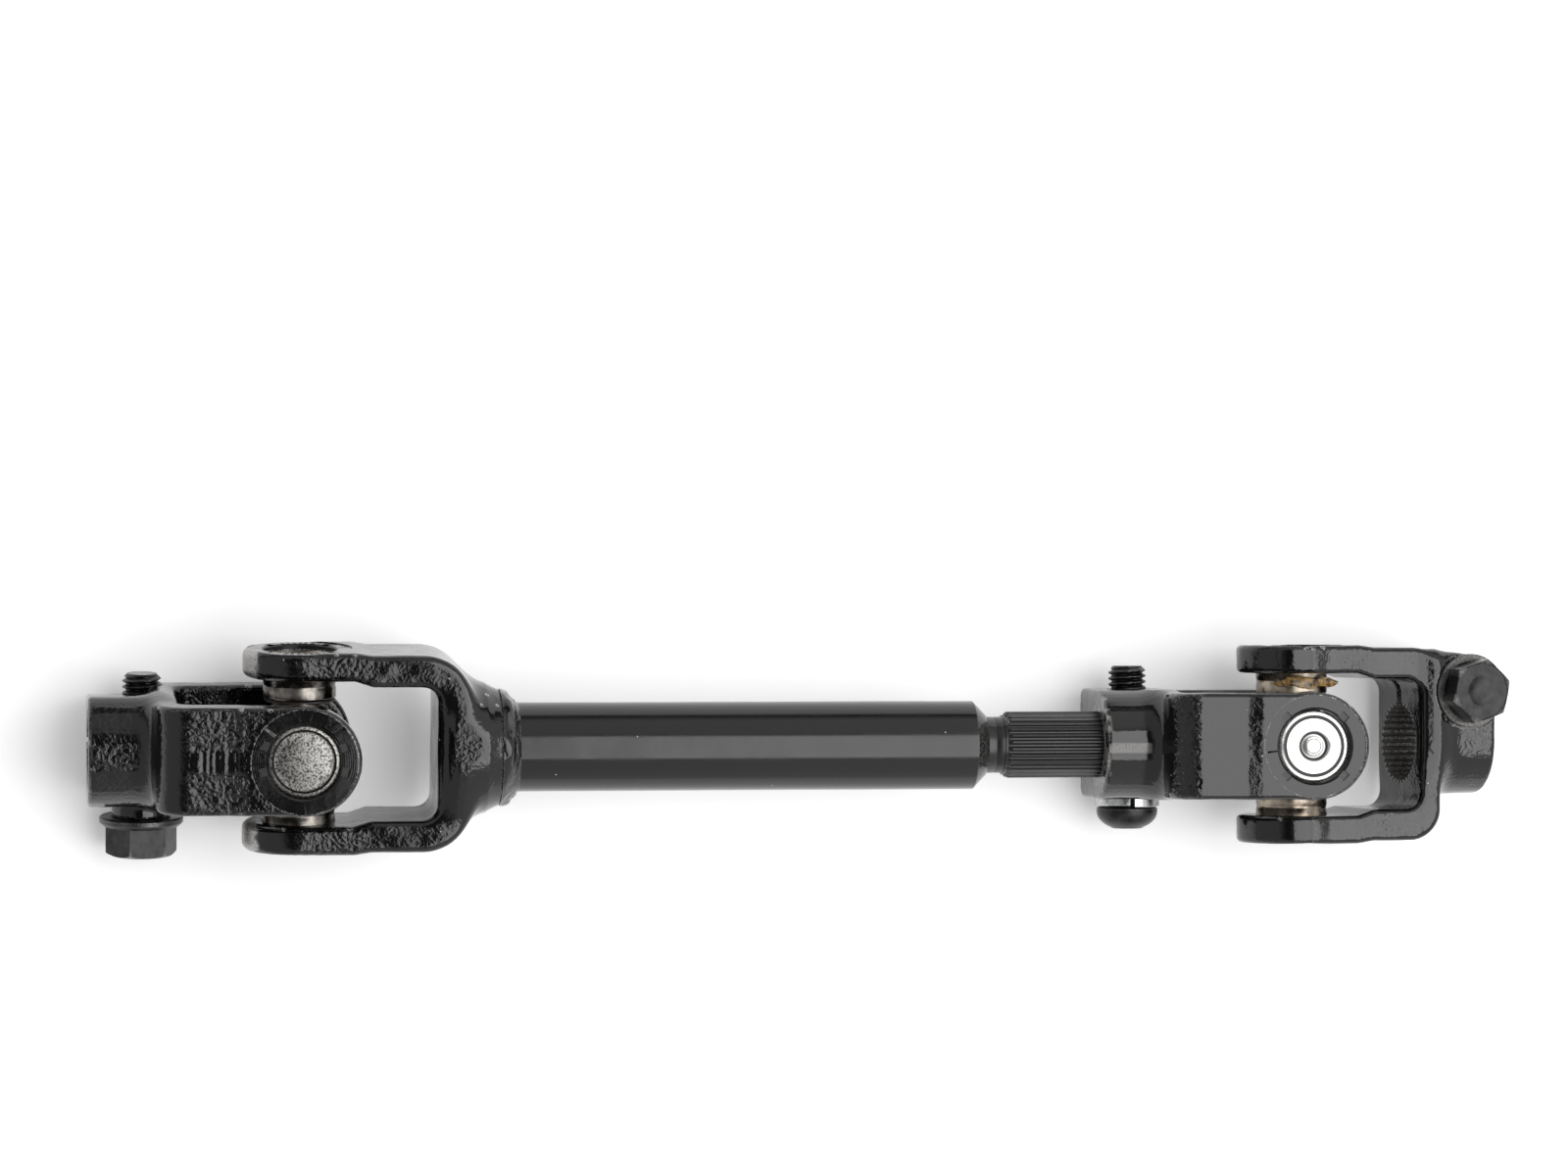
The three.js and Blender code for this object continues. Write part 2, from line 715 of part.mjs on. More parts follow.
const columnYoke = facingColumn(new THREE.Group());
const columnClampSolid = clampYoke(
  columnClamp,
  columnBoltOffset,
  boreOutline(columnClamp),
  flangeBolt.flangeRadius,
);
columnYoke.add(
  piece('column_clamp_yoke', geometryOf(columnClampSolid), 'enamel'),
  bearings('column_yoke', 'domed'),
  onBoltAxis(
    columnClamp,
    columnBoltOffset,
    piece('column_pinch_bolt', geometryOf(flangeBoltSolid(columnClamp)), 'blackOxide'),
  ),
);

const weldYokeGroup = new THREE.Group();
weldYokeGroup.rotation.x = -Math.PI / 2;
weldYokeGroup.add(
  piece('shaft_weld_yoke', geometryOf(weldYokeSolid()), 'enamel'),
  bearings('weld_yoke', 'domed'),
);
columnJoint.add(columnYoke, piece('column_spider', geometryOf(spiderSolid()), 'brightSteel'), weldYokeGroup);

// Gear end: slip yoke on the splines, cross and the clamp yoke that hangs from it.
const gearJoint = new THREE.Group();
gearJoint.position.x = halfSpacing;

const slipYoke = facingColumn(new THREE.Group());
const slipClampSolid = clampYoke(
  slipClamp,
  slipBoltOffset,
  splineOutline(stub, splineClearance),
  lockWasher.radius,
);
slipYoke.add(
  piece('slip_clamp_yoke', geometryOf(slipClampSolid), 'enamel'),
  bearings('slip_yoke', 'ringed'),
  onBoltAxis(
    slipClamp,
    slipBoltOffset,
    piece('slip_pinch_screw', geometryOf(buttonScrewSolid(slipClamp)), 'blackOxide'),
    piece('slip_lock_washer', geometryOf(lockWasherSolid(slipClamp)), 'zinc'),
  ),
);

const gearYoke = new THREE.Group();
gearYoke.rotation.x = Math.PI / 2;
const gearClampSolid = clampYoke(gearClamp, gearBoltOffset, boreOutline(gearClamp), plainWasher.radius);
gearYoke.add(
  piece('gear_clamp_yoke', geometryOf(gearClampSolid), 'enamel'),
  bearings('gear_yoke', 'ringed'),
  onBoltAxis(
    gearClamp,
    gearBoltOffset,
    piece('gear_pinch_bolt', geometryOf(hexBoltSolid(gearClamp)), 'blackOxide'),
    piece('gear_bolt_washer', geometryOf(plainWasherSolid(gearClamp)), 'blackOxide'),
  ),
);
const droop = new THREE.Group();
droop.rotation.y = THREE.MathUtils.degToRad(layout.gearYokeDroop);
droop.add(gearYoke);
gearJoint.add(slipYoke, piece('gear_spider', geometryOf(spiderSolid()), 'brightSteel'), droop);

// The shaft between them.
const shaft = new THREE.Group();
shaft.add(
  piece('shaft_tube', tubeGeometry(), 'enamel'),
  piece('weld_bead', weldGeometry(), 'weldMetal'),
  piece('splined_stub', geometryOf(stubSolid()), 'blackOxide'),
);

const group = new THREE.Group();
group.add(columnJoint, shaft, gearJoint);

export default group;
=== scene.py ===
"""Universal joint shaft: the detailed model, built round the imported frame.

Lengths inside the classes are millimetres in the piece's own frame; a mesh is turned to metres as it is made.
A yoke's own frame has the cross centre as its origin, +X away from the cross, its ears at +Z and -Z, and a
clamp's bolt across Y on the -Z side with its head at +Y.
"""

import json
import logging
import math
from collections.abc import Callable, Sequence
from dataclasses import dataclass, field
from enum import Enum
from functools import partial
from typing import Any

import bpy
import numpy as np
import openvdb
from mathutils import Matrix, Vector

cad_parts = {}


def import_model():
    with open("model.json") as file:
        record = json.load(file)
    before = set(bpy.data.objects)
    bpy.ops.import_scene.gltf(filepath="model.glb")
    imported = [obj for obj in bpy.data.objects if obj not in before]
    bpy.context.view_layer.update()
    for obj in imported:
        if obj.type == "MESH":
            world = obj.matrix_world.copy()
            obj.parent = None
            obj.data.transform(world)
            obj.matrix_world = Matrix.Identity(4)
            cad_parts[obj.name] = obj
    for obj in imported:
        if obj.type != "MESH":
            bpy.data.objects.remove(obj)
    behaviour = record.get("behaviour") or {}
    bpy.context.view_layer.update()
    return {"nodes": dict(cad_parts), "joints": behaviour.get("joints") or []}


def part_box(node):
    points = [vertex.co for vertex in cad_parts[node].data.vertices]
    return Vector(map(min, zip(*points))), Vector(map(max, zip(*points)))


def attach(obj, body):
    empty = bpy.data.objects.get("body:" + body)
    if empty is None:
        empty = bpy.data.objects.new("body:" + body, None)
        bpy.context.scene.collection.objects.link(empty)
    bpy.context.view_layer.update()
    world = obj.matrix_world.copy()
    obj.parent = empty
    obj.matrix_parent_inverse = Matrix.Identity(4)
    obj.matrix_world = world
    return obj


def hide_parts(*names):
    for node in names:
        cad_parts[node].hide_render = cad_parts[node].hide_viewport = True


LOG = logging.getLogger("joint_shaft")
MM = 0.001
SHARP = math.radians(32)  # edges that turn more than this stay sharp

Point = tuple[float, float]
Array = np.ndarray


# ---- Small helpers --------------------------------------------------------------------------------------


def linear(colour: str) -> tuple[float, float, float, float]:
    """Turn an sRGB hex colour to the linear values that a shader takes.

    Args:
        colour: The colour as "#rrggbb".

    Returns:
        Linear red, green, blue and an alpha of 1.
    """
    parts = (int(colour[i : i + 2], 16) / 255 for i in (1, 3, 5))
    r, g, b = (c / 12.92 if c <= 0.04045 else ((c + 0.055) / 1.055) ** 2.4 for c in parts)
    return (r, g, b, 1.0)


def ramp(value: Array, start: float, end: float) -> Array:
    """Rise smoothly from 0 at start to 1 at end."""
    t = np.clip((value - start) / (end - start), 0.0, 1.0)
    return t * t * (3 - 2 * t)


def arc(centre: Point, radius: float, start: float, end: float, step: float = 7.5) -> list[Point]:
    """List points along an arc.

    Args:
        centre: The arc's centre.
        radius: Its radius.
        start: The first angle, in degrees.
        end: The last angle, in degrees.
        step: The most degrees from point to point.

    Returns:
        The points, both ends included.
    """
    count = max(1, math.ceil(abs(end - start) / step))
    angles = np.radians(np.linspace(start, end, count + 1))
    return [(centre[0] + radius * math.cos(a), centre[1] + radius * math.sin(a)) for a in angles]


def turn(axis: str, degrees: float) -> Matrix:
    """Make a rotation about a main axis."""
    return Matrix.Rotation(math.radians(degrees), 4, axis)


ALONG_Y = turn("X", -90)  # takes a turned piece's axis from +Z to +Y
ALONG_X = turn("Y", 90)  # takes it from +Z to +X


class Noise:
    """Smooth seeded noise in three dimensions, sampled at many points at once."""

    SIZE = 32

    def __init__(self, seed: int) -> None:
        """Fill the lattice from a seed."""
        self.values = np.random.default_rng(seed).uniform(-1, 1, (self.SIZE,) * 3).astype(np.float32)

    def at(self, points: Array, wavelength: float | Sequence[float]) -> Array:
        """Sample the noise.

        Args:
            points: Points, in mm, one to a row.
            wavelength: The distance from one lattice point to the next, for all axes or for each.

        Returns:
            Values from -1 to 1, one for each point.
        """
        place = points / np.asarray(wavelength, np.float32)
        base = np.floor(place).astype(int)
        part = place - base
        part = part * part * (3 - 2 * part)
        total = np.zeros(len(points), np.float32)
        for corner in np.ndindex(2, 2, 2):
            weight = np.prod(np.where(corner, part, 1 - part), axis=1)
            i, j, k = ((base + corner) % self.SIZE).T
            total += weight * self.values[i, j, k]
        return total


# ---- Distance fields for forged pieces ------------------------------------------------------------------


@dataclass(frozen=True)
class Block:
    """A block of space sampled on a regular grid, in which a forging is shaped as distances in mm."""

    low: tuple[float, float, float]
    high: tuple[float, float, float]
    step: float = 0.36

    def axes(self) -> tuple[Array, Array, Array]:
        """Give the grid's X, Y and Z values as arrays that combine with each other."""
        x, y, z = (np.arange(a, b, self.step, dtype=np.float32) for a, b in zip(self.low, self.high))
        return x[:, None, None], y[None, :, None], z[None, None, :]

    def surface(self, distance: Array) -> tuple[Array, Array]:
        """Find the surface at distance 0.

        Args:
            distance: Signed distances on the whole grid, negative inside.

        Returns:
            The surface's points in mm, and its faces.
        """
        reach = 3 * self.step
        grid = openvdb.FloatGrid(reach)
        grid.copyFromArray(np.clip(distance, -reach, reach).astype(np.float32))
        points, _, quads = grid.convertToPolygons(isovalue=0.0, adaptivity=0.0)
        return points * self.step + np.array(self.low), quads


def outline_distance(points: Sequence[Point], u: Array, v: Array) -> Array:
    """Measure the signed distance to a closed outline.

    Args:
        points: The outline's corners in order.
        u: First coordinates.
        v: Second coordinates, which combine with the first.

    Returns:
        Distances, negative inside.
    """
    nearest = np.full(np.broadcast(u, v).shape, np.inf, np.float32)
    inside = np.zeros(nearest.shape, bool)
    for (au, av), (bu, bv) in zip(points, [*points[1:], points[0]]):
        eu, ev = bu - au, bv - av
        if not (eu or ev):
            continue
        along = np.clip(((u - au) * eu + (v - av) * ev) / (eu * eu + ev * ev), 0, 1)
        nearest = np.minimum(nearest, (u - au - eu * along) ** 2 + (v - av - ev * along) ** 2)
        if ev:
            inside ^= ((v >= av) != (v >= bv)) & (u < au + (v - av) * eu / ev)
    return np.where(inside, -1, 1) * np.sqrt(nearest)


def meet(a: Array, b: Array, radius: float) -> Array:
    """Keep what two fields share, with the edge between them rounded."""
    ar, br = a + radius, b + radius
    return np.minimum(np.maximum(ar, br), 0) + np.hypot(np.maximum(ar, 0), np.maximum(br, 0)) - radius


def merge(a: Array, b: Array, fillet: float) -> Array:
    """Join two fields, with a fillet in the corner between them."""
    share = np.maximum(fillet - np.abs(a - b), 0) / fillet
    return np.minimum(a, b) - share * share * fillet / 4


# ---- Meshes ---------------------------------------------------------------------------------------------


def make_mesh(
    name: str, points: Array, faces: Sequence[Sequence[int]], place: Matrix | None = None
) -> bpy.types.Mesh:
    """Make a mesh whose faces point outwards.

    Args:
        name: The mesh's name.
        points: Its points in mm.
        faces: Its faces.
        place: Where the points go in the piece's frame, in mm.

    Returns:
        The mesh, in metres.
    """
    mesh = bpy.data.meshes.new(name)
    mesh.from_pydata(np.asarray(points, float).tolist(), [], [list(map(int, f)) for f in faces])
    mesh.transform(Matrix.Scale(MM, 4) @ (place or Matrix.Identity(4)))
    mesh.update()
    mesh.calc_loop_triangles()
    co = read(mesh.vertices, "co").reshape(-1, 3)
    tris = read(mesh.loop_triangles, "vertices", np.int32).reshape(-1, 3)
    a, b, c = co[tris[:, 0]], co[tris[:, 1]], co[tris[:, 2]]
    if (a * np.cross(b, c)).sum() < 0:
        mesh.flip_normals()
    mesh.update()
    return mesh


def read(items: Any, key: str, kind: type = np.float32) -> Array:
    """Read one property of many mesh items at once.

    Args:
        items: The mesh's points, triangles, normals or attribute values.
        key: The property.
        kind: The type of number to read.

    Returns:
        The values in one row.
    """
    width = {"co": 3, "vertices": 3, "vector": 3, "value": 1}[key]
    values = np.zeros(len(items) * width, kind)
    items.foreach_get(key, values)
    return values


def shade(mesh: bpy.types.Mesh) -> None:
    """Shade a mesh smooth but for its sharp edges."""
    mesh.polygons.foreach_set("use_smooth", np.ones(len(mesh.polygons), bool))
    mesh.set_sharp_from_angle(angle=SHARP)


def make_object(name: str, mesh: bpy.types.Mesh, place: Matrix | None = None) -> bpy.types.Object:
    """Put a mesh in the scene, shaded smooth.

    Args:
        name: The object's name.
        mesh: Its mesh.
        place: Its place in the frame, in metres.

    Returns:
        The object.
    """
    thing = bpy.data.objects.new(name, mesh)
    bpy.context.scene.collection.objects.link(thing)
    thing.matrix_world = place or Matrix.Identity(4)
    shade(mesh)
    return thing


def settle(thing: bpy.types.Object) -> None:
    """Move a piece's place into its mesh, keeping each point's own place in mm for the finishes.

    Args:
        thing: The piece.
    """
    mesh = thing.data
    layer = mesh.attributes.new("own_mm", "FLOAT_VECTOR", "POINT")
    layer.data.foreach_set("vector", read(mesh.vertices, "co") / MM)
    mesh.transform(thing.matrix_world)
    thing.matrix_world = Matrix.Identity(4)


def apply_modifiers(thing: bpy.types.Object) -> None:
    """Turn an object's modifiers into its mesh.

    Args:
        thing: The object.
    """
    done = thing.evaluated_get(bpy.context.evaluated_depsgraph_get())
    mesh = bpy.data.meshes.new_from_object(done)
    thing.modifiers.clear()
    old, thing.data = thing.data, mesh
    bpy.data.meshes.remove(old)


def carve(thing: bpy.types.Object, cutters: Sequence[bpy.types.Mesh]) -> None:
    """Cut machined features out of a piece.

    Args:
        thing: The piece.
        cutters: The shapes to take away, in the piece's frame.
    """
    for mesh in cutters:
        tool = bpy.data.objects.new("cutter", mesh)
        bpy.context.scene.collection.objects.link(tool)
        tool.matrix_world = thing.matrix_world
        cut = thing.modifiers.new("cut", "BOOLEAN")
        cut.operation, cut.object, cut.solver = "DIFFERENCE", tool, "MANIFOLD"
        bpy.context.view_layer.update()
        apply_modifiers(thing)
        bpy.data.objects.remove(tool)
        bpy.data.meshes.remove(mesh)
    shade(thing.data)


Shaper = Callable[[Array, Array, Array], tuple[Array, Array]]


@dataclass
class Turning:
    """A turned surface about +Z: rings of points from a profile, which a shaper may then move.

    profile holds (radius, height) pairs. It starts and ends on the axis, or ends where it starts.
    """

    profile: Sequence[Point]
    sides: int = 96
    shaper: Shaper | None = None

    def mesh(self, name: str, place: Matrix | None = None) -> bpy.types.Mesh:
        """Make the mesh.

        Args:
            name: The mesh's name.
            place: Where it goes in the piece's frame, in mm.

        Returns:
            The closed mesh.
        """
        closed = self.profile[0] == self.profile[-1]
        rows = np.array(self.profile[:-1] if closed else self.profile, float)
        angle = np.linspace(0, 2 * math.pi, self.sides, endpoint=False)[None, :]
        radius = np.repeat(rows[:, :1], self.sides, axis=1)
        height = np.repeat(rows[:, 1:], self.sides, axis=1)
        if self.shaper:
            radius, height = self.shaper(angle, radius, height)
        grid = np.stack([radius * np.cos(angle), radius * np.sin(angle), height], axis=-1)
        count, sides = len(rows), self.sides
        index = np.arange(count * sides).reshape(count, sides)
        if not closed:
            index[0], index[-1] = index[0, 0], index[-1, 0]
        lower = index if closed else index[:-1]
        upper = np.roll(index, -1, axis=0) if closed else index[1:]
        quads = np.stack([lower, np.roll(lower, -1, axis=1), np.roll(upper, -1, axis=1), upper], axis=-1)
        faces = [list(dict.fromkeys(q)) for q in quads.reshape(-1, 4).tolist()]
        faces = [f for f in faces if len(f) > 2]
        used = sorted({i for f in faces for i in f})
        order = {old: new for new, old in enumerate(used)}
        points = grid.reshape(-1, 3)[used]
        return make_mesh(name, points, [[order[i] for i in f] for f in faces], place)


def prism(
    name: str, outline: Sequence[Point], low: float, high: float, place: Matrix | None = None
) -> bpy.types.Mesh:
    """Make a straight prism about +Z.

    Args:
        name: The mesh's name.
        outline: The section's corners in X and Y, in mm.
        low: The lower end's height.
        high: The upper end's height.
        place: Where it goes in the piece's frame, in mm.

    Returns:
        The closed mesh.
    """
    count = len(outline)
    points = [(x, y, z) for z in (low, high) for x, y in outline]
    sides = [(i, (i + 1) % count, count + (i + 1) % count, count + i) for i in range(count)]
    faces = [tuple(reversed(range(count))), tuple(range(count, 2 * count)), *sides]
    return make_mesh(name, np.array(points), faces, place)


def spline_outline(teeth: int, crest: float, root: float) -> list[Point]:
    """List a straight-sided spline's outline.

    Args:
        teeth: How many teeth.
        crest: The radius over the teeth.
        root: The radius between them.

    Returns:
        Four points for each tooth.
    """
    pitch = 2 * math.pi / teeth
    crest_half, root_half = 0.15, 0.3  # shares of the pitch
    tooth = ((root, -root_half), (crest, -crest_half), (crest, crest_half), (root, root_half))
    polar = [(r, (number + share) * pitch) for number in range(teeth) for r, share in tooth]
    return [(r * math.cos(a), r * math.sin(a)) for r, a in polar]


# ---- Materials ------------------------------------------------------------------------------------------

Node = bpy.types.Node
Socket = bpy.types.NodeSocket
Inputs = dict[str | int, Any]
Adder = Callable[..., Node]


def add_node(tree: bpy.types.NodeTree, kind: str, inputs: Inputs | None = None, **settings: Any) -> Node:
    """Add a node with its settings and links.

    Args:
        tree: The node tree.
        kind: The node's type, without "ShaderNode".
        inputs: What each input takes, by name or number: a value, a socket, or a node for its first output.
        **settings: The node's own properties.

    Returns:
        The node.
    """
    node = tree.nodes.new("ShaderNode" + kind)
    for key, value in settings.items():
        setattr(node, key, value)
    live = [socket for socket in node.inputs if socket.enabled]
    named = {socket.name: socket for socket in live}
    for key, value in (inputs or {}).items():
        socket = live[key] if isinstance(key, int) else named[key]
        if isinstance(value, Node):
            value = next(output for output in value.outputs if output.enabled)
        if isinstance(value, Socket):
            tree.links.new(value, socket)
        else:
            socket.default_value = value
    return node


@dataclass(frozen=True)
class Finish:
    """What every finish shares: its name, its coordinates in mm and the end of its node tree."""

    name: str
    by_object: bool = field(default=False, kw_only=True)

    def build(self) -> bpy.types.Material:
        """Make the material.

        Returns:
            The material.
        """
        material = bpy.data.materials.new(self.name)
        material.use_nodes = True
        tree = material.node_tree
        tree.nodes.clear()
        shader = add_node(tree, "BsdfPrincipled", self.dress(partial(add_node, tree)))
        add_node(tree, "OutputMaterial", {"Surface": shader}, is_active_output=True)
        return material

    def dress(self, add: Adder) -> Inputs:
        """Work out the finish.

        Args:
            add: Adds a node to the material.

        Returns:
            What the shader takes for its colour, gloss and relief.
        """
        raise NotImplementedError

    def place(self, add: Adder) -> Node | Socket:
        """Find the piece's own coordinates in mm.

        Args:
            add: Adds a node to the material.

        Returns:
            Where the coordinates come from.
        """
        if not self.by_object:
            return add("Attribute", attribute_name="own_mm").outputs["Vector"]
        own = add("TexCoord").outputs["Object"]
        return add("Mapping", {"Vector": own, "Scale": (1 / MM,) * 3})

    @staticmethod
    def from_axis(add: Adder, across: Sequence[Socket]) -> Node:
        """Measure the distance from an axis.

        Args:
            add: Adds a node to the material.
            across: The two coordinates across the axis.

        Returns:
            The node that gives the distance.
        """
        sizes = [add("Math", {0: value}, operation="ABSOLUTE") for value in across]
        squares = [add("Math", {0: size, 1: 2.0}, operation="POWER") for size in sizes]
        total = add("Math", dict(enumerate(squares)), operation="ADD")
        return add("Math", {0: total}, operation="SQRT")

    @staticmethod
    def band(add: Adder, value: Node | Socket, low: float, high: float, soft: float = 0.05) -> Node:
        """Mark where a value lies between two limits.

        Args:
            add: Adds a node to the material.
            value: The value.
            low: The lower limit.
            high: The upper limit.
            soft: Half the width of each limit's soft edge.

        Returns:
            The node that gives 1 between the limits and 0 elsewhere.
        """
        rise = add("MapRange", {"Value": value, "From Min": low - soft, "From Max": low + soft})
        edge = {"Value": value, "From Min": high - soft, "From Max": high + soft}
        fall = add("MapRange", {**edge, "To Min": 1.0, "To Max": 0.0})
        return add("Math", {0: rise, 1: fall}, operation="MULTIPLY")


@dataclass(frozen=True)
class Machined:
    """Where an enamelled fork is machined, as limits in mm from the cross centre."""

    ring: Point = (7.0, 10.7)  # across the spot face, from the ears' axis
    pocket: Point = (19.6, 20.5)  # heights of the staked pockets' floors
    face: Point = (20.5, 20.8)  # heights of the spot face
    bore: Point = (4.0, 8.74)  # across the splined bore, from the shaft's axis
    bore_length: Point = (24.0, 60.0)


MACHINED = Machined()


@dataclass(frozen=True)
class Enamel(Finish):
    """Black stoving enamel, sprayed on a forging or a tube.

    The eye gets a deep neutral black, a wet gloss broken by orange peel, a crinkle where the scale beneath is
    rough, dull pockets where the cups are staked, and bare grey steel where knocks have worn the edges.
    """

    base: str = "#070707"
    worn: str = "#a8a6a3"
    dust: str = "#c9c9c9"
    gloss: Point = (0.05, 0.13)
    peel_depth: float = 0.02
    grain_depth: float = 0.009
    crinkle_depth: float = 0.09
    edge_wear: float = 1.0
    machined: bool = False

    def dress(self, add: Adder) -> Inputs:
        """Work out the finish.

        Args:
            add: Adds a node to the material.

        Returns:
            What the shader takes for its colour, gloss and relief.
        """
        place = self.place(add)
        cloud = add("TexNoise", {"Vector": place, "Scale": 1 / 7.0, "Detail": 3.0, "Roughness": 0.55})
        grain = add("TexNoise", {"Vector": place, "Scale": 1 / 0.5, "Detail": 4.0, "Roughness": 0.6})
        peel = add("TexNoise", {"Vector": place, "Scale": 1 / 1.7, "Detail": 2.0, "Roughness": 0.55})
        mirror, satin = self.gloss
        patches = {"Value": cloud, "From Min": 0.35, "From Max": 0.65}
        sheen = add("MapRange", {**patches, "To Min": mirror, "To Max": satin})
        relief = add("Bump", {"Height": peel, "Distance": self.peel_depth * MM})
        relief = add("Bump", {"Height": grain, "Distance": self.grain_depth * MM, "Normal": relief})
        wear = self.wear(add, place, grain)
        if self.machined:
            wear, sheen, relief = self.machining(add, place, wear, sheen, relief)
        metal = add("Math", {0: wear, 1: 0.8}, operation="MULTIPLY")
        dulled = add("Math", {0: wear, 1: 0.3}, operation="MULTIPLY")
        return {
            "Base Color": self.colour(add, place, wear),
            "Metallic": metal,
            "Roughness": add("Math", {0: sheen, 1: dulled}, operation="ADD"),
            "Normal": self.crinkle(add, place, relief),
        }

    def wear(self, add: Adder, place: Node | Socket, grain: Node) -> Node:
        """Find where the enamel is gone: chipped at sharp edges, and scraped where the mesh says so.

        Args:
            add: Adds a node to the material.
            place: The coordinates in mm.
            grain: The enamel's fine grain, which makes a scraped patch ragged.

        Returns:
            The node that gives 1 on bare steel and 0 on whole enamel.
        """
        specks = add("TexNoise", {"Vector": place, "Scale": 1 / 0.35, "Detail": 2.0, "Roughness": 0.55})
        edge = add("NewGeometry").outputs["Pointiness"]
        sharp = add("MapRange", {"Value": edge, "From Min": 0.52, "From Max": 0.57, "To Max": self.edge_wear})
        chips = add("MapRange", {"Value": specks, "From Min": 0.46, "From Max": 0.56})
        chipped = add("Math", {0: sharp, 1: chips}, operation="MULTIPLY")
        bare = add("Attribute", attribute_name="bare").outputs["Fac"]
        ragged = add("MapRange", {"Value": grain, "From Min": 0.34, "From Max": 0.48, "To Min": 0.35})
        scraped = add("Math", {0: bare, 1: ragged}, operation="MULTIPLY")
        return add("Math", {0: chipped, 1: scraped}, operation="MAXIMUM")

    def machining(
        self, add: Adder, place: Node | Socket, wear: Node, sheen: Node, relief: Node
    ) -> tuple[Node, Node, Node]:
        """Add what the machining shows: cutter marks, dull staked pockets and a thinly coated bore.

        Args:
            add: Adds a node to the material.
            place: The coordinates in mm.
            wear: Where the enamel is gone.
            sheen: The enamel's roughness.
            relief: The enamel's normal.

        Returns:
            The wear, the sheen and the relief with the machining.
        """
        x, y, z = add("SeparateXYZ", {"Vector": place}).outputs
        up = add("Math", {0: z}, operation="ABSOLUTE")
        around = self.from_axis(add, (x, y))
        face = self.band(add, around, *MACHINED.ring)
        floors = self.band(add, up, *MACHINED.pocket)
        pocket = add("Math", {0: face, 1: floors}, operation="MULTIPLY")
        inside = self.band(add, self.from_axis(add, (y, z)), *MACHINED.bore)
        length = self.band(add, x, *MACHINED.bore_length)
        bore = add("Math", {0: inside, 1: length}, operation="MULTIPLY")
        levels = self.band(add, up, MACHINED.pocket[0], MACHINED.face[1])
        flat = add("Math", {0: face, 1: levels}, operation="MULTIPLY")
        kept = add("MapRange", {"Value": flat, "To Min": 1.0, "To Max": 0.0})
        wear = add("Math", {0: wear, 1: kept}, operation="MULTIPLY")
        thin = add("Math", {0: bore, 1: 0.32}, operation="MULTIPLY")
        wear = add("Math", {0: wear, 1: thin}, operation="MAXIMUM")
        dull = add("Math", {0: pocket, 1: 0.25}, operation="MULTIPLY")
        sheen = add("Math", {0: sheen, 1: dull}, operation="ADD")
        ring = self.band(add, up, *MACHINED.face)
        turned = add("Math", {0: face, 1: ring}, operation="MULTIPLY")
        # Cutter marks lie 0.45 mm apart, coarser than the real feed so that they show.
        phase = add("Math", {0: around, 1: 2 * math.pi / 0.45}, operation="MULTIPLY")
        wave = add("Math", {0: phase}, operation="SINE")
        marks = add("Math", {0: wave, 1: turned}, operation="MULTIPLY")
        return wear, sheen, add("Bump", {"Height": marks, "Distance": 0.0025 * MM, "Normal": relief})

    def crinkle(self, add: Adder, place: Node | Socket, relief: Node) -> Node:
        """Crinkle the enamel where the mesh says that the scale beneath it is rough.

        Args:
            add: Adds a node to the material.
            place: The coordinates in mm.
            relief: The enamel's normal.

        Returns:
            The node that gives the crinkled normal.
        """
        rough = add("Attribute", attribute_name="crinkle").outputs["Fac"]
        folds = {"Vector": place, "Scale": 1 / 1.25, "Detail": 3.0, "Roughness": 0.5}
        deep = add("TexNoise", {**folds, "Offset": 0.9, "Gain": 1.6}, noise_type="RIDGED_MULTIFRACTAL")
        height = add("Math", {0: deep, 1: rough}, operation="MULTIPLY")
        return add("Bump", {"Height": height, "Distance": self.crinkle_depth * MM, "Normal": relief})

    def colour(self, add: Adder, place: Node | Socket, wear: Node) -> Node:
        """Colour the enamel, its dust and the steel where it is gone.

        Args:
            add: Adds a node to the material.
            place: The coordinates in mm.
            wear: Where the enamel is gone.

        Returns:
            The node that gives the colour.
        """
        # Dust settles as specks about 0.25 mm across, one or none to each 5 mm.
        cells = add("TexVoronoi", {"Vector": place, "Scale": 1 / 5.0})
        specks = {"Value": cells, "From Min": 0.02, "From Max": 0.035}
        dust = add("MapRange", {**specks, "To Min": 0.8, "To Max": 0.0})
        black = add("Mix", {"Factor": dust, "A": linear(self.base), "B": linear(self.dust)}, data_type="RGBA")
        return add("Mix", {"Factor": wear, "A": black, "B": linear(self.worn)}, data_type="RGBA")


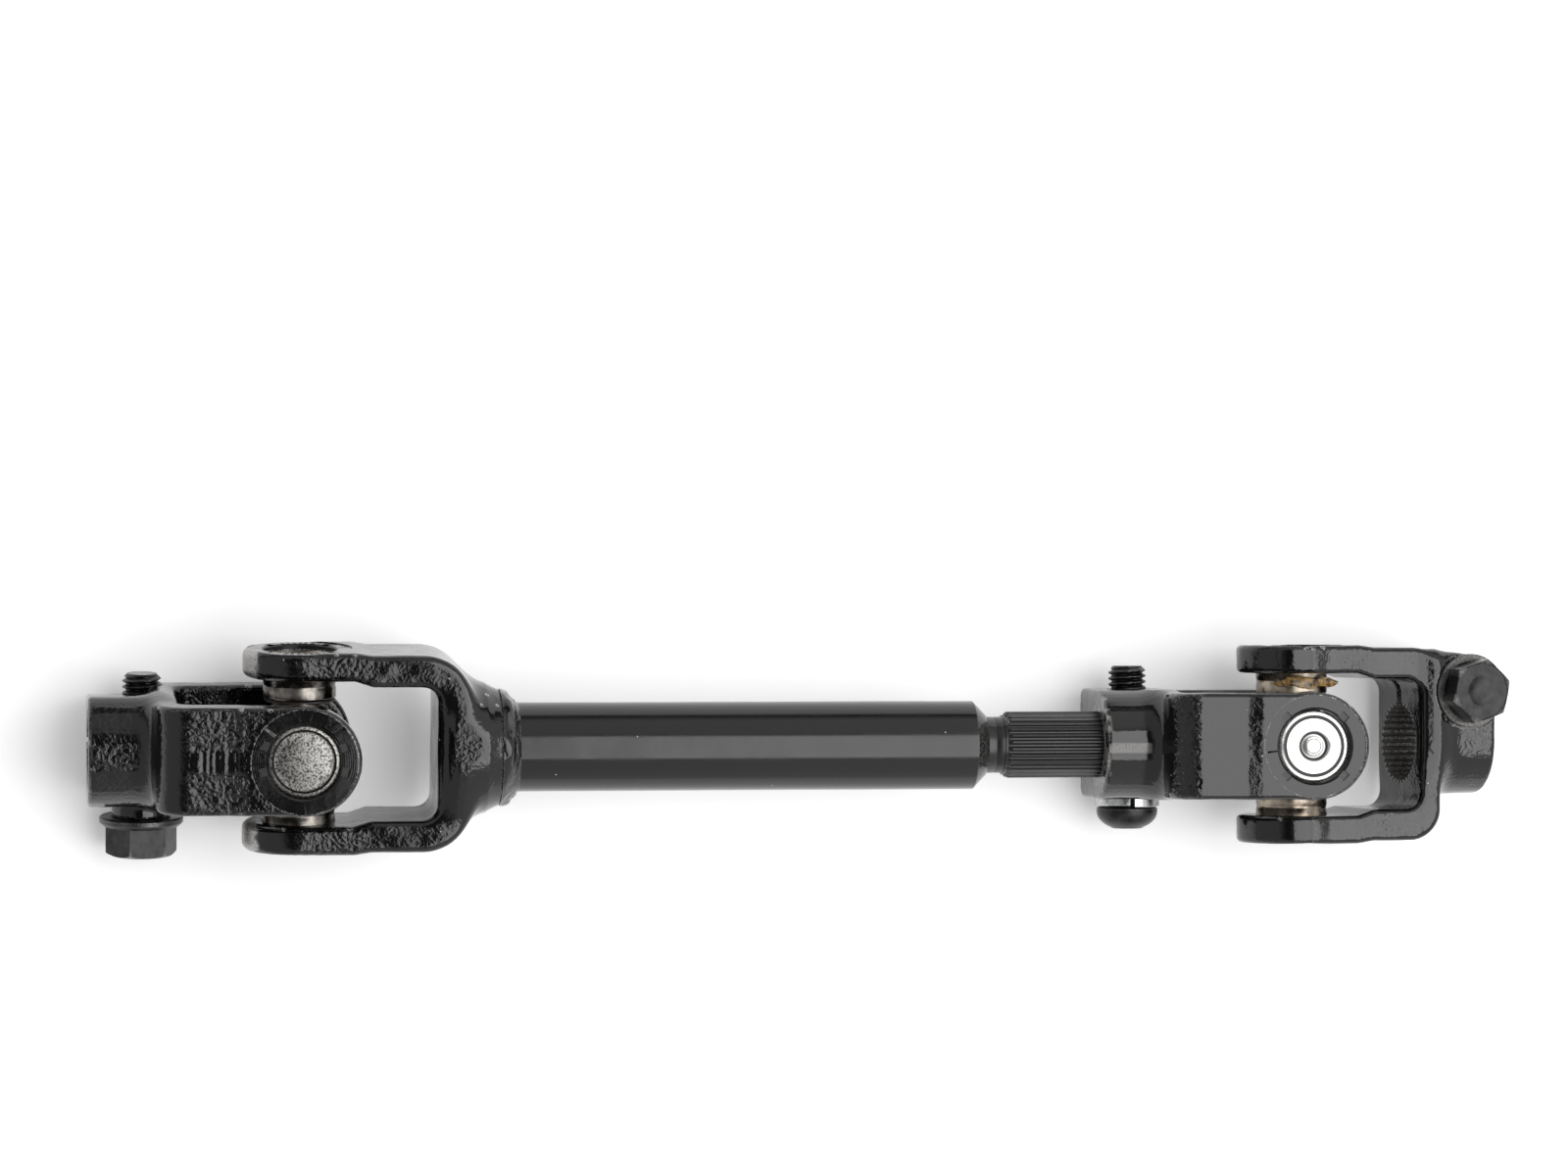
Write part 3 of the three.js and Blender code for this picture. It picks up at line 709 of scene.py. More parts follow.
@dataclass(frozen=True)
class Steel(Finish):
    """Bare, oxidised or plated steel.

    The eye gets a metal whose gloss and tone vary over a few millimetres, with grain, painted shade in the
    sunk rings of a cup's end, and edges that are worn brighter.
    """

    low: str
    high: str
    gloss: Point
    patch: float
    grain: float
    grain_depth: float
    metallic: float = 1.0
    speckle: float = 0.0
    mottle: Point = (0.0, 1.0)
    # painted shade: the radius and half width of each ring darkened where a cup's end is sunk
    shaded_grooves: tuple[Point, ...] = ()
    edge_wear: float = 0.0

    def dress(self, add: Adder) -> Inputs:
        """Work out the finish.

        Args:
            add: Adds a node to the material.

        Returns:
            What the shader takes for its colour, gloss and relief.
        """
        place = self.place(add)
        cloud = add("TexNoise", {"Vector": place, "Scale": 1 / self.patch, "Detail": 4.0, "Roughness": 0.6})
        fine = add("TexNoise", {"Vector": place, "Scale": 1 / self.grain, "Detail": 3.0, "Roughness": 0.6})
        tone = self.tone(add, place, cloud, fine)
        patches = {"Value": cloud, "From Min": 0.35, "From Max": 0.65}
        smooth, matt = self.gloss
        colours = {"A": linear(self.low), "B": linear(self.high)}
        return {
            "Base Color": add("Mix", {"Factor": tone, **colours}, data_type="RGBA"),
            "Metallic": self.metallic,
            "Roughness": add("MapRange", {**patches, "To Min": smooth, "To Max": matt}),
            "Normal": add("Bump", {"Height": fine, "Distance": self.grain_depth * MM}),
        }

    def tone(self, add: Adder, place: Node | Socket, cloud: Node, fine: Node) -> Node:
        """Work out how light the steel is: patches, pits, worn edges and painted shade in sunk rings.

        Args:
            add: Adds a node to the material.
            place: The coordinates in mm.
            cloud: The broad patches.
            fine: The fine grain.

        Returns:
            The node that gives 0 for the low colour and 1 for the high one.
        """
        dim, light = self.mottle
        patches = {"Value": cloud, "From Min": 0.3, "From Max": 0.7}
        tone = add("MapRange", {**patches, "To Min": dim, "To Max": light})
        if self.speckle:
            pits = add("MapRange", {"Value": fine, "From Min": 0.40, "From Max": 0.56})
            dotted = add("Math", {0: pits, 1: self.speckle}, operation="MULTIPLY")
            clouded = add("Math", {0: tone, 1: 1 - self.speckle}, operation="MULTIPLY")
            tone = add("Math", {0: clouded, 1: dotted}, operation="ADD")
        if self.edge_wear:
            edge = add("NewGeometry").outputs["Pointiness"]
            corner = {"Value": edge, "From Min": 0.54, "From Max": 0.62}
            rub = add("MapRange", {**corner, "To Max": self.edge_wear})
            chips = add("MapRange", {"Value": fine, "From Min": 0.4, "From Max": 0.55, "To Min": 0.2})
            chipped = add("Math", {0: rub, 1: chips}, operation="MULTIPLY")
            faint = add("Math", {0: tone, 1: 0.07}, operation="MULTIPLY")
            tone = add("Math", {0: faint, 1: chipped}, operation="ADD")
        x, y, _ = add("SeparateXYZ", {"Vector": place}).outputs
        around = self.from_axis(add, (x, y))
        # Painted shade: darken a band at each listed radius, where the cup's end sinks into a ring.
        for radius, half in self.shaded_grooves:
            dark = self.band(add, around, radius - half, radius + half, half * 0.6)
            kept = add("MapRange", {"Value": dark, "To Min": 1.0, "To Max": 0.0})
            tone = add("Math", {0: tone, 1: kept}, operation="MULTIPLY")
        return tone


@dataclass(frozen=True)
class Rubber(Finish):
    """Moulded nitrile rubber with grease on it: dull black with a faint brown film."""

    black: str = "#0f0d0b"
    film: str = "#2b2118"

    def dress(self, add: Adder) -> Inputs:
        """Work out the finish.

        Args:
            add: Adds a node to the material.

        Returns:
            What the shader takes for its colour, gloss and relief.
        """
        place = self.place(add)
        smear = add("TexNoise", {"Vector": place, "Scale": 1 / 2.0, "Detail": 3.0, "Roughness": 0.55})
        skin = add("TexNoise", {"Vector": place, "Scale": 1 / 0.4, "Detail": 3.0, "Roughness": 0.55})
        colours = {"A": linear(self.black), "B": linear(self.film)}
        wet = {"Value": smear, "From Min": 0.3, "From Max": 0.7, "To Min": 0.3, "To Max": 0.7}
        return {
            "Base Color": add("Mix", {"Factor": smear, **colours}, data_type="RGBA"),
            "Roughness": add("MapRange", wet),
            "Normal": add("Bump", {"Height": skin, "Distance": 0.02 * MM}),
        }


@dataclass(frozen=True)
class Grease(Finish):
    """Brown bearing grease that has crept out: amber where thin, dark where thick, and wet."""

    thick: str = "#1c1206"
    thin: str = "#a58450"

    def dress(self, add: Adder) -> Inputs:
        """Work out the finish.

        Args:
            add: Adds a node to the material.

        Returns:
            What the shader takes for its colour, gloss and relief.
        """
        place = self.place(add)
        streak = add("TexNoise", {"Vector": place, "Scale": 1 / 1.1, "Detail": 4.0, "Roughness": 0.55})
        tone = add("MapRange", {"Value": streak, "From Min": 0.38, "From Max": 0.62})
        colours = {"A": linear(self.thick), "B": linear(self.thin)}
        wet = {"Value": streak, "From Min": 0.3, "From Max": 0.7, "To Min": 0.12, "To Max": 0.35}
        return {
            "Base Color": add("Mix", {"Factor": tone, **colours}, data_type="RGBA"),
            "Roughness": add("MapRange", wet),
            "Normal": add("Bump", {"Height": streak, "Distance": 0.08 * MM}),
        }


@dataclass(frozen=True)
class Paper(Finish):
    """White sweep paper under the shaft: matt, with a faint tooth, and lit a little from beneath."""

    shade: str = "#fbfbfb"
    white: str = "#ffffff"
    glow: float = 0.17

    def dress(self, add: Adder) -> Inputs:
        """Work out the finish.

        Args:
            add: Adds a node to the material.

        Returns:
            What the shader takes for its colour, gloss and relief.
        """
        place = self.place(add)
        tooth = add("TexNoise", {"Vector": place, "Scale": 1 / 0.8, "Detail": 3.0, "Roughness": 0.55})
        colours = {"A": linear(self.shade), "B": linear(self.white)}
        return {
            "Base Color": add("Mix", {"Factor": tooth, **colours}, data_type="RGBA"),
            "Roughness": 0.9,
            "Specular IOR Level": 0.2,
            "Emission Color": linear(self.white),
            "Emission Strength": self.glow,
            "Normal": add("Bump", {"Height": tooth, "Distance": 0.02 * MM}),
        }


class Coat(Enum):
    """The finishes of the shaft's pieces."""

    # Dipped over a shot-blasted forging: wet mirror highlights broken by the rough skin beneath.
    YOKE = Enamel("black_enamel_on_forging", machined=True)
    # Sprayed over drawn tube: a long even highlight, a little softer than the forgings'.
    TUBE = Enamel(
        "black_enamel_on_tube", gloss=(0.15, 0.2), peel_depth=0.006, grain_depth=0.002, edge_wear=0.35
    )
    # Sprayed over weld ripples: glossy lumps with hardly a worn edge.
    WELD = Enamel("black_enamel_on_weld", gloss=(0.06, 0.16), peel_depth=0.03, edge_wear=0.15)
    # Waxed, rolled splines: charcoal with a satin line along each tooth.
    SPLINE = Enamel(
        "black_wax_on_splines", base="#0e0e0f", worn="#5b5a59", gloss=(0.26, 0.36), edge_wear=0.6
    )
    # Chemically blacked bolts: satin near-black that rubs to grey at the corners.
    OXIDE = Steel(
        "black_oxide_steel", "#171718", "#b4b2b0", (0.26, 0.4),
        patch=2.5, grain=0.3, grain_depth=0.016, metallic=0.8, edge_wear=0.6,
    )
    # Drawn and etched cup end: silver peppered with dark pits, and painted shade in the trough round its
    # dome.
    GRAINED = Steel(
        "etched_bearing_steel", "#141312", "#9d9b98", (0.28, 0.46),
        patch=6.0, grain=0.45, grain_depth=0.06, speckle=0.75, shaded_grooves=((6.35, 0.2),),
    )
    # Cup barrel stained by oil: brown-grey and still shiny.
    BARREL = Steel(
        "tarnished_bearing_steel", "#24211f", "#8f8a84", (0.16, 0.3), patch=3.0, grain=0.3, grain_depth=0.01
    )
    # Turned cup end: bright silver, with painted shade in the rings that the form tool sank.
    BRIGHT = Steel(
        "turned_bearing_steel", "#2e2e2e", "#dcdbd9", (0.16, 0.26),
        patch=4.0, grain=0.3, grain_depth=0.006, mottle=(0.7, 1.0),
        shaded_grooves=((6.15, 0.36), (2.7, 0.34), (1.5, 0.12)),
    )
    # Ground cup barrel under an oil film: warm straw-coloured steel.
    TANNED = Steel(
        "ground_bearing_steel", "#5f564d", "#b5a999", (0.2, 0.34), patch=3.0, grain=0.2, grain_depth=0.006
    )
    # Forged and case-hardened cross: dark brown-black scale with a dull shine.
    CROSS = Steel(
        "forged_cross_steel", "#141312", "#3d3934", (0.3, 0.5),
        patch=3.0, grain=0.5, grain_depth=0.03, metallic=0.9,
    )
    # Ground needle rollers: clean even silver.
    ROLLER = Steel(
        "ground_roller_steel", "#a8a7a5", "#d2d1cf", (0.15, 0.25),
        patch=2.0, grain=0.2, grain_depth=0.003, by_object=True,
    )
    # Zinc plate on a washer: pale blue-grey, soft and slightly cloudy.
    ZINC = Steel(
        "zinc_plated_steel", "#8d8e8f", "#d9dadb", (0.2, 0.34), patch=1.5, grain=0.25, grain_depth=0.012
    )
    SEAL = Rubber("greased_nitrile_rubber")
    GREASE = Grease("brown_bearing_grease")
    FLOOR = Paper("white_sweep_paper", by_object=True)


class Wardrobe:
    """Makes each finish's material once."""

    def __init__(self) -> None:
        """Start empty."""
        self.made: dict[Coat, bpy.types.Material] = {}

    def get(self, coat: Coat) -> bpy.types.Material:
        """Find a finish's material, made on first use.

        Args:
            coat: The finish.

        Returns:
            Its material.
        """
        if coat not in self.made:
            self.made[coat] = coat.value.build()
        return self.made[coat]

    def put_on(self, thing: bpy.types.Object, coat: Coat) -> None:
        """Make a finish an object's only material."""
        thing.data.materials.clear()
        thing.data.materials.append(self.get(coat))


# ---- What every sub-assembly shares ---------------------------------------------------------------------


@dataclass
class SubAssembly:
    """Pieces that ride on one body, in one local frame."""

    body: str
    place: Matrix
    wardrobe: Wardrobe

    def add(self, name: str, mesh: bpy.types.Mesh) -> bpy.types.Object:
        """Put a mesh in the scene at this sub-assembly's place."""
        return make_object(name, mesh, self.place)

    def finish(self, thing: bpy.types.Object, coat: Coat, slot: str, *nodes: str) -> None:
        """Dress a piece, let it ride and hide the CAD nodes that it stands for.

        Args:
            thing: The piece.
            coat: Its finish.
            slot: The record's material slot; not used.
            *nodes: The CAD nodes that it stands for.
        """
        settle(thing)
        self.wardrobe.put_on(thing, coat)
        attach(thing, self.body)
        if nodes:
            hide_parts(*nodes)
        LOG.info("%s: %d faces", thing.name, len(thing.data.polygons))


# ---- Yokes ----------------------------------------------------------------------------------------------


@dataclass(frozen=True)
class Ears:
    """The ears and arms, alike on all four yokes."""

    face: float = 21.0
    skin: float = 20.93  # the forged face
    machined: float = 20.68  # the face cut round each cup
    thickness: float = 6.0
    radius: float = 11.2
    tip_offset: float = 0.5
    arm_face: float = 20.4
    arm_thickness: float = 6.6
    half_width: float = 11.1
    blend_start: float = 10.9
    blend_end: float = 14.5
    plan_fillet: float = 1.0  # where the ear's disc meets the arm
    bore: float = 7.66
    bore_chamfer: float = 0.35
    spot_radius: float = 10.8
    stake_depth: float = 0.42
    stake_gap: float = 0.12  # from the bore to a stake's pocket


EARS = Ears()


@dataclass
class Yoke(SubAssembly):
    """A forged fork: its field, its forged skin and its machined ears."""

    name: str
    node: str
    seed: int
    base_inner: float = 25.3
    base_wall: float = 4.5
    outer_corner: float = 6.6
    inner_corner: float = 3.4
    edge_round: float = 1.1
    end: float = 43.3
    half_block: float = 15.0  # half the width of the space that the forging is shaped in
    crinkled: float = 0.3
    bore: float = EARS.bore
    stakes: Sequence[float] = ()
    stake_size: Point = (1.5, 1.9)
    swell: Point = (0.07, 7.0)  # the forged skin's slow waves: height and wavelength
    ripple: Point = (0.035, 2.2)  # its quick ones
    patch: float = 9.0  # the wavelength of its crinkled patches

    def fork(self, x: Array, y: Array, z: Array) -> Array:
        """Shape the two ears, the arms and the fork base.

        Args:
            x: The grid's X values.
            y: Its Y values.
            z: Its Z values.

        Returns:
            Distances on the whole grid.
        """
        ears, outer = EARS, self.base_inner + self.base_wall
        tip, inner_ear = -(ears.radius + ears.tip_offset) - 2, ears.face - ears.thickness
        inner_arm, corner = ears.arm_face - ears.arm_thickness, self.inner_corner
        upper = [
            (tip, inner_ear),
            (tip, ears.skin),
            (ears.blend_start, ears.skin),
            (ears.blend_end, ears.arm_face),
            *arc((outer - self.outer_corner, ears.arm_face - self.outer_corner), self.outer_corner, 90, 0),
        ]
        inside = [
            *arc((self.base_inner - corner, inner_arm - corner), corner, 0, 90),
            (ears.blend_end, inner_arm),
            (ears.blend_start, inner_ear),
        ]
        lower = [(px, -pz) for px, pz in reversed(upper)]
        hole = [(px, -pz) for px, pz in reversed(inside)]
        profile = outline_distance([*upper, *lower, *hole, *inside], x[:, :, 0], z[0, :, :])[:, None, :]
        disc = np.hypot(x + ears.tip_offset, y) - ears.radius
        strip = np.maximum(np.abs(y) - ears.half_width, -x)
        plan = merge(disc, strip, ears.plan_fillet)
        return meet(profile, plan, self.edge_round)

    def field(self, x: Array, y: Array, z: Array) -> Array:
        """Shape the whole forging."""
        return self.fork(x, y, z)

    def relief(self, points: Array, normals: Array) -> tuple[Array, Array, Array]:
        """Say how the forged skin stands off the true shape.

        Args:
            points: The skin's points in mm.
            normals: Its normals.

        Returns:
            The height of the skin in mm, how crinkled it is, and how bare it is of enamel.
        """
        waves, ripples = Noise(self.seed), Noise(self.seed + 1)
        (swell, long), (ripple, short) = self.swell, self.ripple
        height = swell * waves.at(points, long) + ripple * ripples.at(points, short)
        patches = ramp(waves.at(points, self.patch), -0.3, 0.4)
        crinkle = np.full(len(points), self.crinkled) * (0.4 + 0.6 * patches)
        return height, crinkle, np.zeros(len(points))

    def cutters(self) -> list[bpy.types.Mesh]:
        """List what is machined away at the ears: cup bores, spot faces and staking marks.

        Returns:
            The shapes to take away, in the yoke's frame.
        """
        ears = EARS
        reach, edge, cut = ears.face + 4, ears.bore_chamfer, ears.machined
        mouth = self.bore + edge
        low = [(0, -reach), (mouth + 4, -reach), (mouth, -cut), (self.bore, -cut + edge)]
        rows = [*low, *[(r, -h) for r, h in reversed(low)]]
        spot = [(0, cut), (ears.spot_radius, cut), (ears.spot_radius, reach), (0, reach)]
        cuts = [Turning(rows, 128).mesh("cup_bore")]
        cuts += [Turning(spot, 128).mesh("spot_face", turn("X", flip)) for flip in (0, 180)]
        wide, long = (size / 2 for size in self.stake_size)
        pocket = [(-wide, -long), (wide, -long), (wide, long), (-wide, long)]
        out = Matrix.Translation((self.bore + wide + ears.stake_gap, 0, 0))
        for angle in self.stakes:
            for flip in (0, 180):
                at = turn("X", flip) @ turn("Z", angle) @ out
                cuts.append(prism("stake", pocket, cut - ears.stake_depth, reach, at))
        return cuts

    def block(self) -> Block:
        """Give the block of space that holds the forging."""
        side = EARS.face + 1.5
        return Block((-14.0, -self.half_block, -side), (self.end + 2.0, self.half_block, side))

    def forge(self) -> bpy.types.Object:
        """Make the forging with its skin, then machine it.

        Returns:
            The yoke's piece.
        """
        block = self.block()
        points, faces = block.surface(self.field(*block.axes()))
        mesh = make_mesh(self.name, points, faces)
        normals = read(mesh.vertex_normals, "vector").reshape(-1, 3)
        points = read(mesh.vertices, "co").reshape(-1, 3) / MM
        height, crinkle, bare = self.relief(points, normals)
        points = self.inside_box(points + normals * height[:, None])
        mesh.vertices.foreach_set("co", (points * MM).astype(np.float32).ravel())
        for key, values in (("crinkle", crinkle), ("bare", bare)):
            layer = mesh.attributes.new(key, "FLOAT", "POINT")
            layer.data.foreach_set("value", values.astype(np.float32))
        mesh.update()
        thing = self.add(self.name, mesh)
        carve(thing, self.cutters())
        return thing

    def inside_box(self, points: Array) -> Array:
        """Hold points inside the CAD node's box.

        Args:
            points: The points in mm, in the yoke's frame.

        Returns:
            The points, moved in where they stood out.
        """
        low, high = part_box(self.node)
        place = np.array(self.place)
        spin, shift = place[:3, :3], place[:3, 3]
        world = np.clip(points * MM @ spin.T + shift, np.array(low), np.array(high))
        return (world - shift) @ spin / MM

    def build(self) -> None:
        """Build the yoke and dress it."""
        self.finish(self.forge(), Coat.YOKE, "yoke_enamel", self.node)


@dataclass
class ClampYoke(Yoke):
    """A fork with a split boss that a bolt pinches onto a splined shaft."""

    boss_radius: float = 12.0
    bolt_x: float = 32.0
    bolt_offset: float = 11.6
    lug_beyond: float = 7.1
    slit: float = 2.4
    bolt_hole: float = 4.35
    seat_radius: float = 9.2
    seat_depth: float = 0.4
    teeth: int = 36
    bore_crest: float = 8.1
    bore_root: float = 8.7
    fillet: float = 5.0
    pad: float = 0.0
    pad_radius: float = 6.1
    draft: float = 0.0
    draft_inset: float = 0.96
    nose: Sequence[Point] = ()

    @property
    def seat(self) -> float:
        """Where the bolt's seat lies, measured from the clamp's middle."""
        return self.boss_radius + self.pad - self.seat_depth

    def block(self) -> Block:
        """Give the block of space that holds the forging and its bolt pad.

        Returns:
            The block.
        """
        whole = super().block()
        length, half, side = whole.high
        return Block(whole.low, (length, half + self.pad, side))

    def field(self, x: Array, y: Array, z: Array) -> Array:
        """Shape the fork with its boss.

        Args:
            x: The grid's X values.
            y: Its Y values.
            z: Its Z values.

        Returns:
            Distances on the whole grid.
        """
        r, lug, corner = self.boss_radius, -(self.bolt_offset + self.lug_beyond), 2.0
        section = [
            *arc((0, 0), r, 0, 180),
            *arc((-r + corner, lug + corner), corner, 180, 270, 15),
            *arc((r - corner, lug + corner), corner, 270, 360, 15),
        ]
        across = outline_distance(section, y[0, :, :], z[0, :, :])[None, :, :]
        start = self.base_inner + 3.2
        if self.draft:
            slope = math.radians(self.draft)
            side = (self.draft_inset - r - z * math.tan(slope) - y) * math.cos(slope)
            across = meet(across, side, 0.8)
        boss = meet(across, np.maximum(start - x, x - self.end), 0.7)
        if self.nose:
            tip = [(self.end + a, lug + b) for a, b in self.nose]
            waste = [*tip, (self.end + 3, lug - 9), (tip[0][0], lug - 9)]
            boss = meet(boss, -outline_distance(waste, x[:, :, 0], z[0, :, :])[:, None, :], 0.9)
        shape = merge(self.fork(x, y, z), boss, self.fillet)
        if self.pad:
            post = np.hypot(x - self.bolt_x, z + self.bolt_offset) - self.pad_radius
            post = meet(post, np.maximum(r / 2 - y, y - r - self.pad), 0.4)
            shape = merge(shape, post, 1.6)
        return shape

    def cutters(self) -> list[bpy.types.Mesh]:
        """List what is machined away: the ears' cuts, the splined bore, the slit and the bolt's seat.

        Returns:
            The shapes to take away, in the yoke's frame.
        """
        cuts = super().cutters()
        start, stop = self.base_inner - 3, self.end + 1
        teeth = spline_outline(self.teeth, self.bore_root, self.bore_crest)
        cuts.append(prism("splined_bore", teeth, start, stop, ALONG_X))
        half = self.slit / 2
        slot = [(self.base_inner - 2, -half), (stop, -half), (stop, half), (self.base_inner - 2, half)]
        cuts.append(prism("slit", slot, -EARS.face - 9, 0))
        reach = self.boss_radius + self.pad + 5
        at = Matrix.Translation((self.bolt_x, 0, -self.bolt_offset)) @ ALONG_Y
        hole = [(0, -reach), (self.bolt_hole, -reach), (self.bolt_hole, reach), (0, reach)]
        cuts.append(Turning(hole, 64).mesh("bolt_hole", at))
        seat = [(0, self.seat), (self.seat_radius, self.seat), (self.seat_radius, reach), (0, reach)]
        cuts.append(Turning(seat, 96).mesh("bolt_seat", at))
        return cuts


@dataclass
class ColumnYoke(ClampYoke):
    """The column-side clamp yoke, whose forging flash was sheared off in a chattered band."""

    band_half: float = 2.45
    band_jag: float = 0.5
    chatter_pitch: float = 0.62
    pit_length: tuple[float, float, float] = (0.9, 1.5, 3.0)
    pit_depth: float = 0.26
    boss_start: float = 31.0

    def relief(self, points: Array, normals: Array) -> tuple[Array, Array, Array]:
        """Add the sheared flash band and the pitted scale on the arms' outer faces.

        Args:
            points: The skin's points in mm.
            normals: Its normals.

        Returns:
            The height of the skin in mm, how crinkled it is, and how bare it is of enamel.
        """
        height, crinkle, _ = super().relief(points, normals)
        x, y = points[:, 0], points[:, 1]
        jag, pit = Noise(self.seed + 2), Noise(self.seed + 3)
        outward = ramp(np.abs(normals[:, 2]), 0.75, 0.95)
        arm = outward * ramp(x, 10.8, 11.6) * ramp(-x, -24.5, -23.0)
        edge = self.band_half + self.band_jag * jag.at(points, (1.3, 40, 40))
        band = ramp(edge - np.abs(y), -0.18, 0.18)
        chatter = jag.at(points * (1, 0, 0), self.chatter_pitch)
        pits = np.abs(pit.at(points, self.pit_length))
        height += arm * (1 - band) * (self.pit_depth * pits - 0.16)
        height += arm * band * (0.10 + 0.10 * chatter)
        boss = ramp(x, self.boss_start, self.boss_start + 1) * ramp(normals[:, 2], 0.6, 0.8)
        height += boss * band * (-0.12 + 0.07 * pit.at(points, 1.1))
        crinkle += 0.9 * arm * (1 - band) + 0.5 * boss * band
        rim = ramp(x, self.end - 1.0, self.end - 0.35) * ramp(jag.at(points, 1.5), 0.15, 0.5)
        return height, crinkle, 0.55 * rim


@dataclass
class SlipYoke(ClampYoke):
    """The slip yoke, with a strip ground along its boss and crinkled enamel in its corners."""

    strip_start: float = 32.6
    strip_middle: float = 0.45
    strip_half: float = 1.05
    strip_depth: float = 0.10

    def relief(self, points: Array, normals: Array) -> tuple[Array, Array, Array]:
        """Add the ground strip, the ragged rim and the crinkled corners.

        Args:
            points: The skin's points in mm.
            normals: Its normals.

        Returns:
            The height of the skin in mm, how crinkled it is, and how bare it is of enamel.
        """
        height, crinkle, _ = super().relief(points, normals)
        x, y, z = points.T
        jag = Noise(self.seed + 2)
        top = ramp(normals[:, 2], 0.85, 0.97)
        inside = self.strip_half - np.abs(y - self.strip_middle)
        strip = top * ramp(x, self.strip_start, self.strip_start + 0.8) * ramp(inside, -0.15, 0.15)
        height -= self.strip_depth * strip
        crinkle *= 1 - strip
        corner = ramp(x, 23.0, 25.0) * ramp(-x, -31.0, -29.0) * ramp(normals[:, 2], 0.2, 0.5)
        crinkle += 0.8 * corner
        height += corner * 0.10 * np.abs(jag.at(points, 1.2))
        rim = ramp(x, self.end - 1.1, self.end - 0.4) * ramp(jag.at(points, 1.2), 0.0, 0.4)
        height += rim * 0.12 * jag.at(points, 0.9)
        return height, crinkle, np.maximum(0.26 * strip, 0.75 * rim * ramp(z, 3.0, 6.0))


@dataclass
class WeldYoke(Yoke):
    """The fork that is welded to the tube, with a round hub."""

    hub_radius: float = 13.2
    hub_straight: float = 3.2
    nose_radius: float = 12.0
    hub_end: float = 41.3

    def field(self, x: Array, y: Array, z: Array) -> Array:
        """Shape the fork with its hub.

        Args:
            x: The grid's X values.
            y: Its Y values.
            z: Its Z values.

        Returns:
            Distances on the whole grid.
        """
        start = self.base_inner + 4
        straight = self.base_inner + self.base_wall + self.hub_straight
        section = [
            (start, -1.0),
            (start, self.hub_radius),
            (straight, self.hub_radius),
            (self.hub_end, self.nose_radius),
            (self.hub_end, -1.0),
        ]
        radial = np.hypot(y, z)
        hub = self.revolve(section, x, radial)
        return merge(self.fork(x, y, z), hub, 6.0)

    @staticmethod
    def revolve(section: Sequence[Point], x: Array, radial: Array) -> Array:
        """Measure the distance to a section turned about X.

        Args:
            section: The section's corners, as places along X and radii.
            x: The grid's X values.
            radial: Its distances from X.

        Returns:
            Distances on the whole grid.
        """
        step = 0.25
        table = np.arange(0, 32, step, dtype=np.float32)
        flat = outline_distance(section, x[:, :, 0], table[None, :])
        place = np.clip(radial[0] / step, 0, len(table) - 2.001)
        base = place.astype(int)
        part = place - base
        return flat[:, base] * (1 - part) + flat[:, base + 1] * part

    def relief(self, points: Array, normals: Array) -> tuple[Array, Array, Array]:
        """Add scale near the ears and bare ear ends.

        Args:
            points: The skin's points in mm.
            normals: Its normals.

        Returns:
            The height of the skin in mm, how crinkled it is, and how bare it is of enamel.
        """
        height, crinkle, _ = super().relief(points, normals)
        x, pit = points[:, 0], Noise(self.seed + 3)
        side = ramp(np.abs(normals[:, 1]), 0.7, 0.9)
        near = side * ramp(-np.abs(x - 6.0), -9.0, -5.0)
        height += near * (0.16 * np.abs(pit.at(points, (0.9, 3.0, 2.4))) - 0.08)
        crinkle += 0.8 * near
        end = ramp(-x + 0.9 * pit.at(points, 1.6), 8.6, 9.1)
        return height, crinkle, 0.95 * end


# ---- Bearings and crosses -------------------------------------------------------------------------------


class CupEnd(Enum):
    """How a cup's end is formed."""

    DOMED = "a low dome inside a raised rim"
    RINGED = "turned rings round a centre dimple"


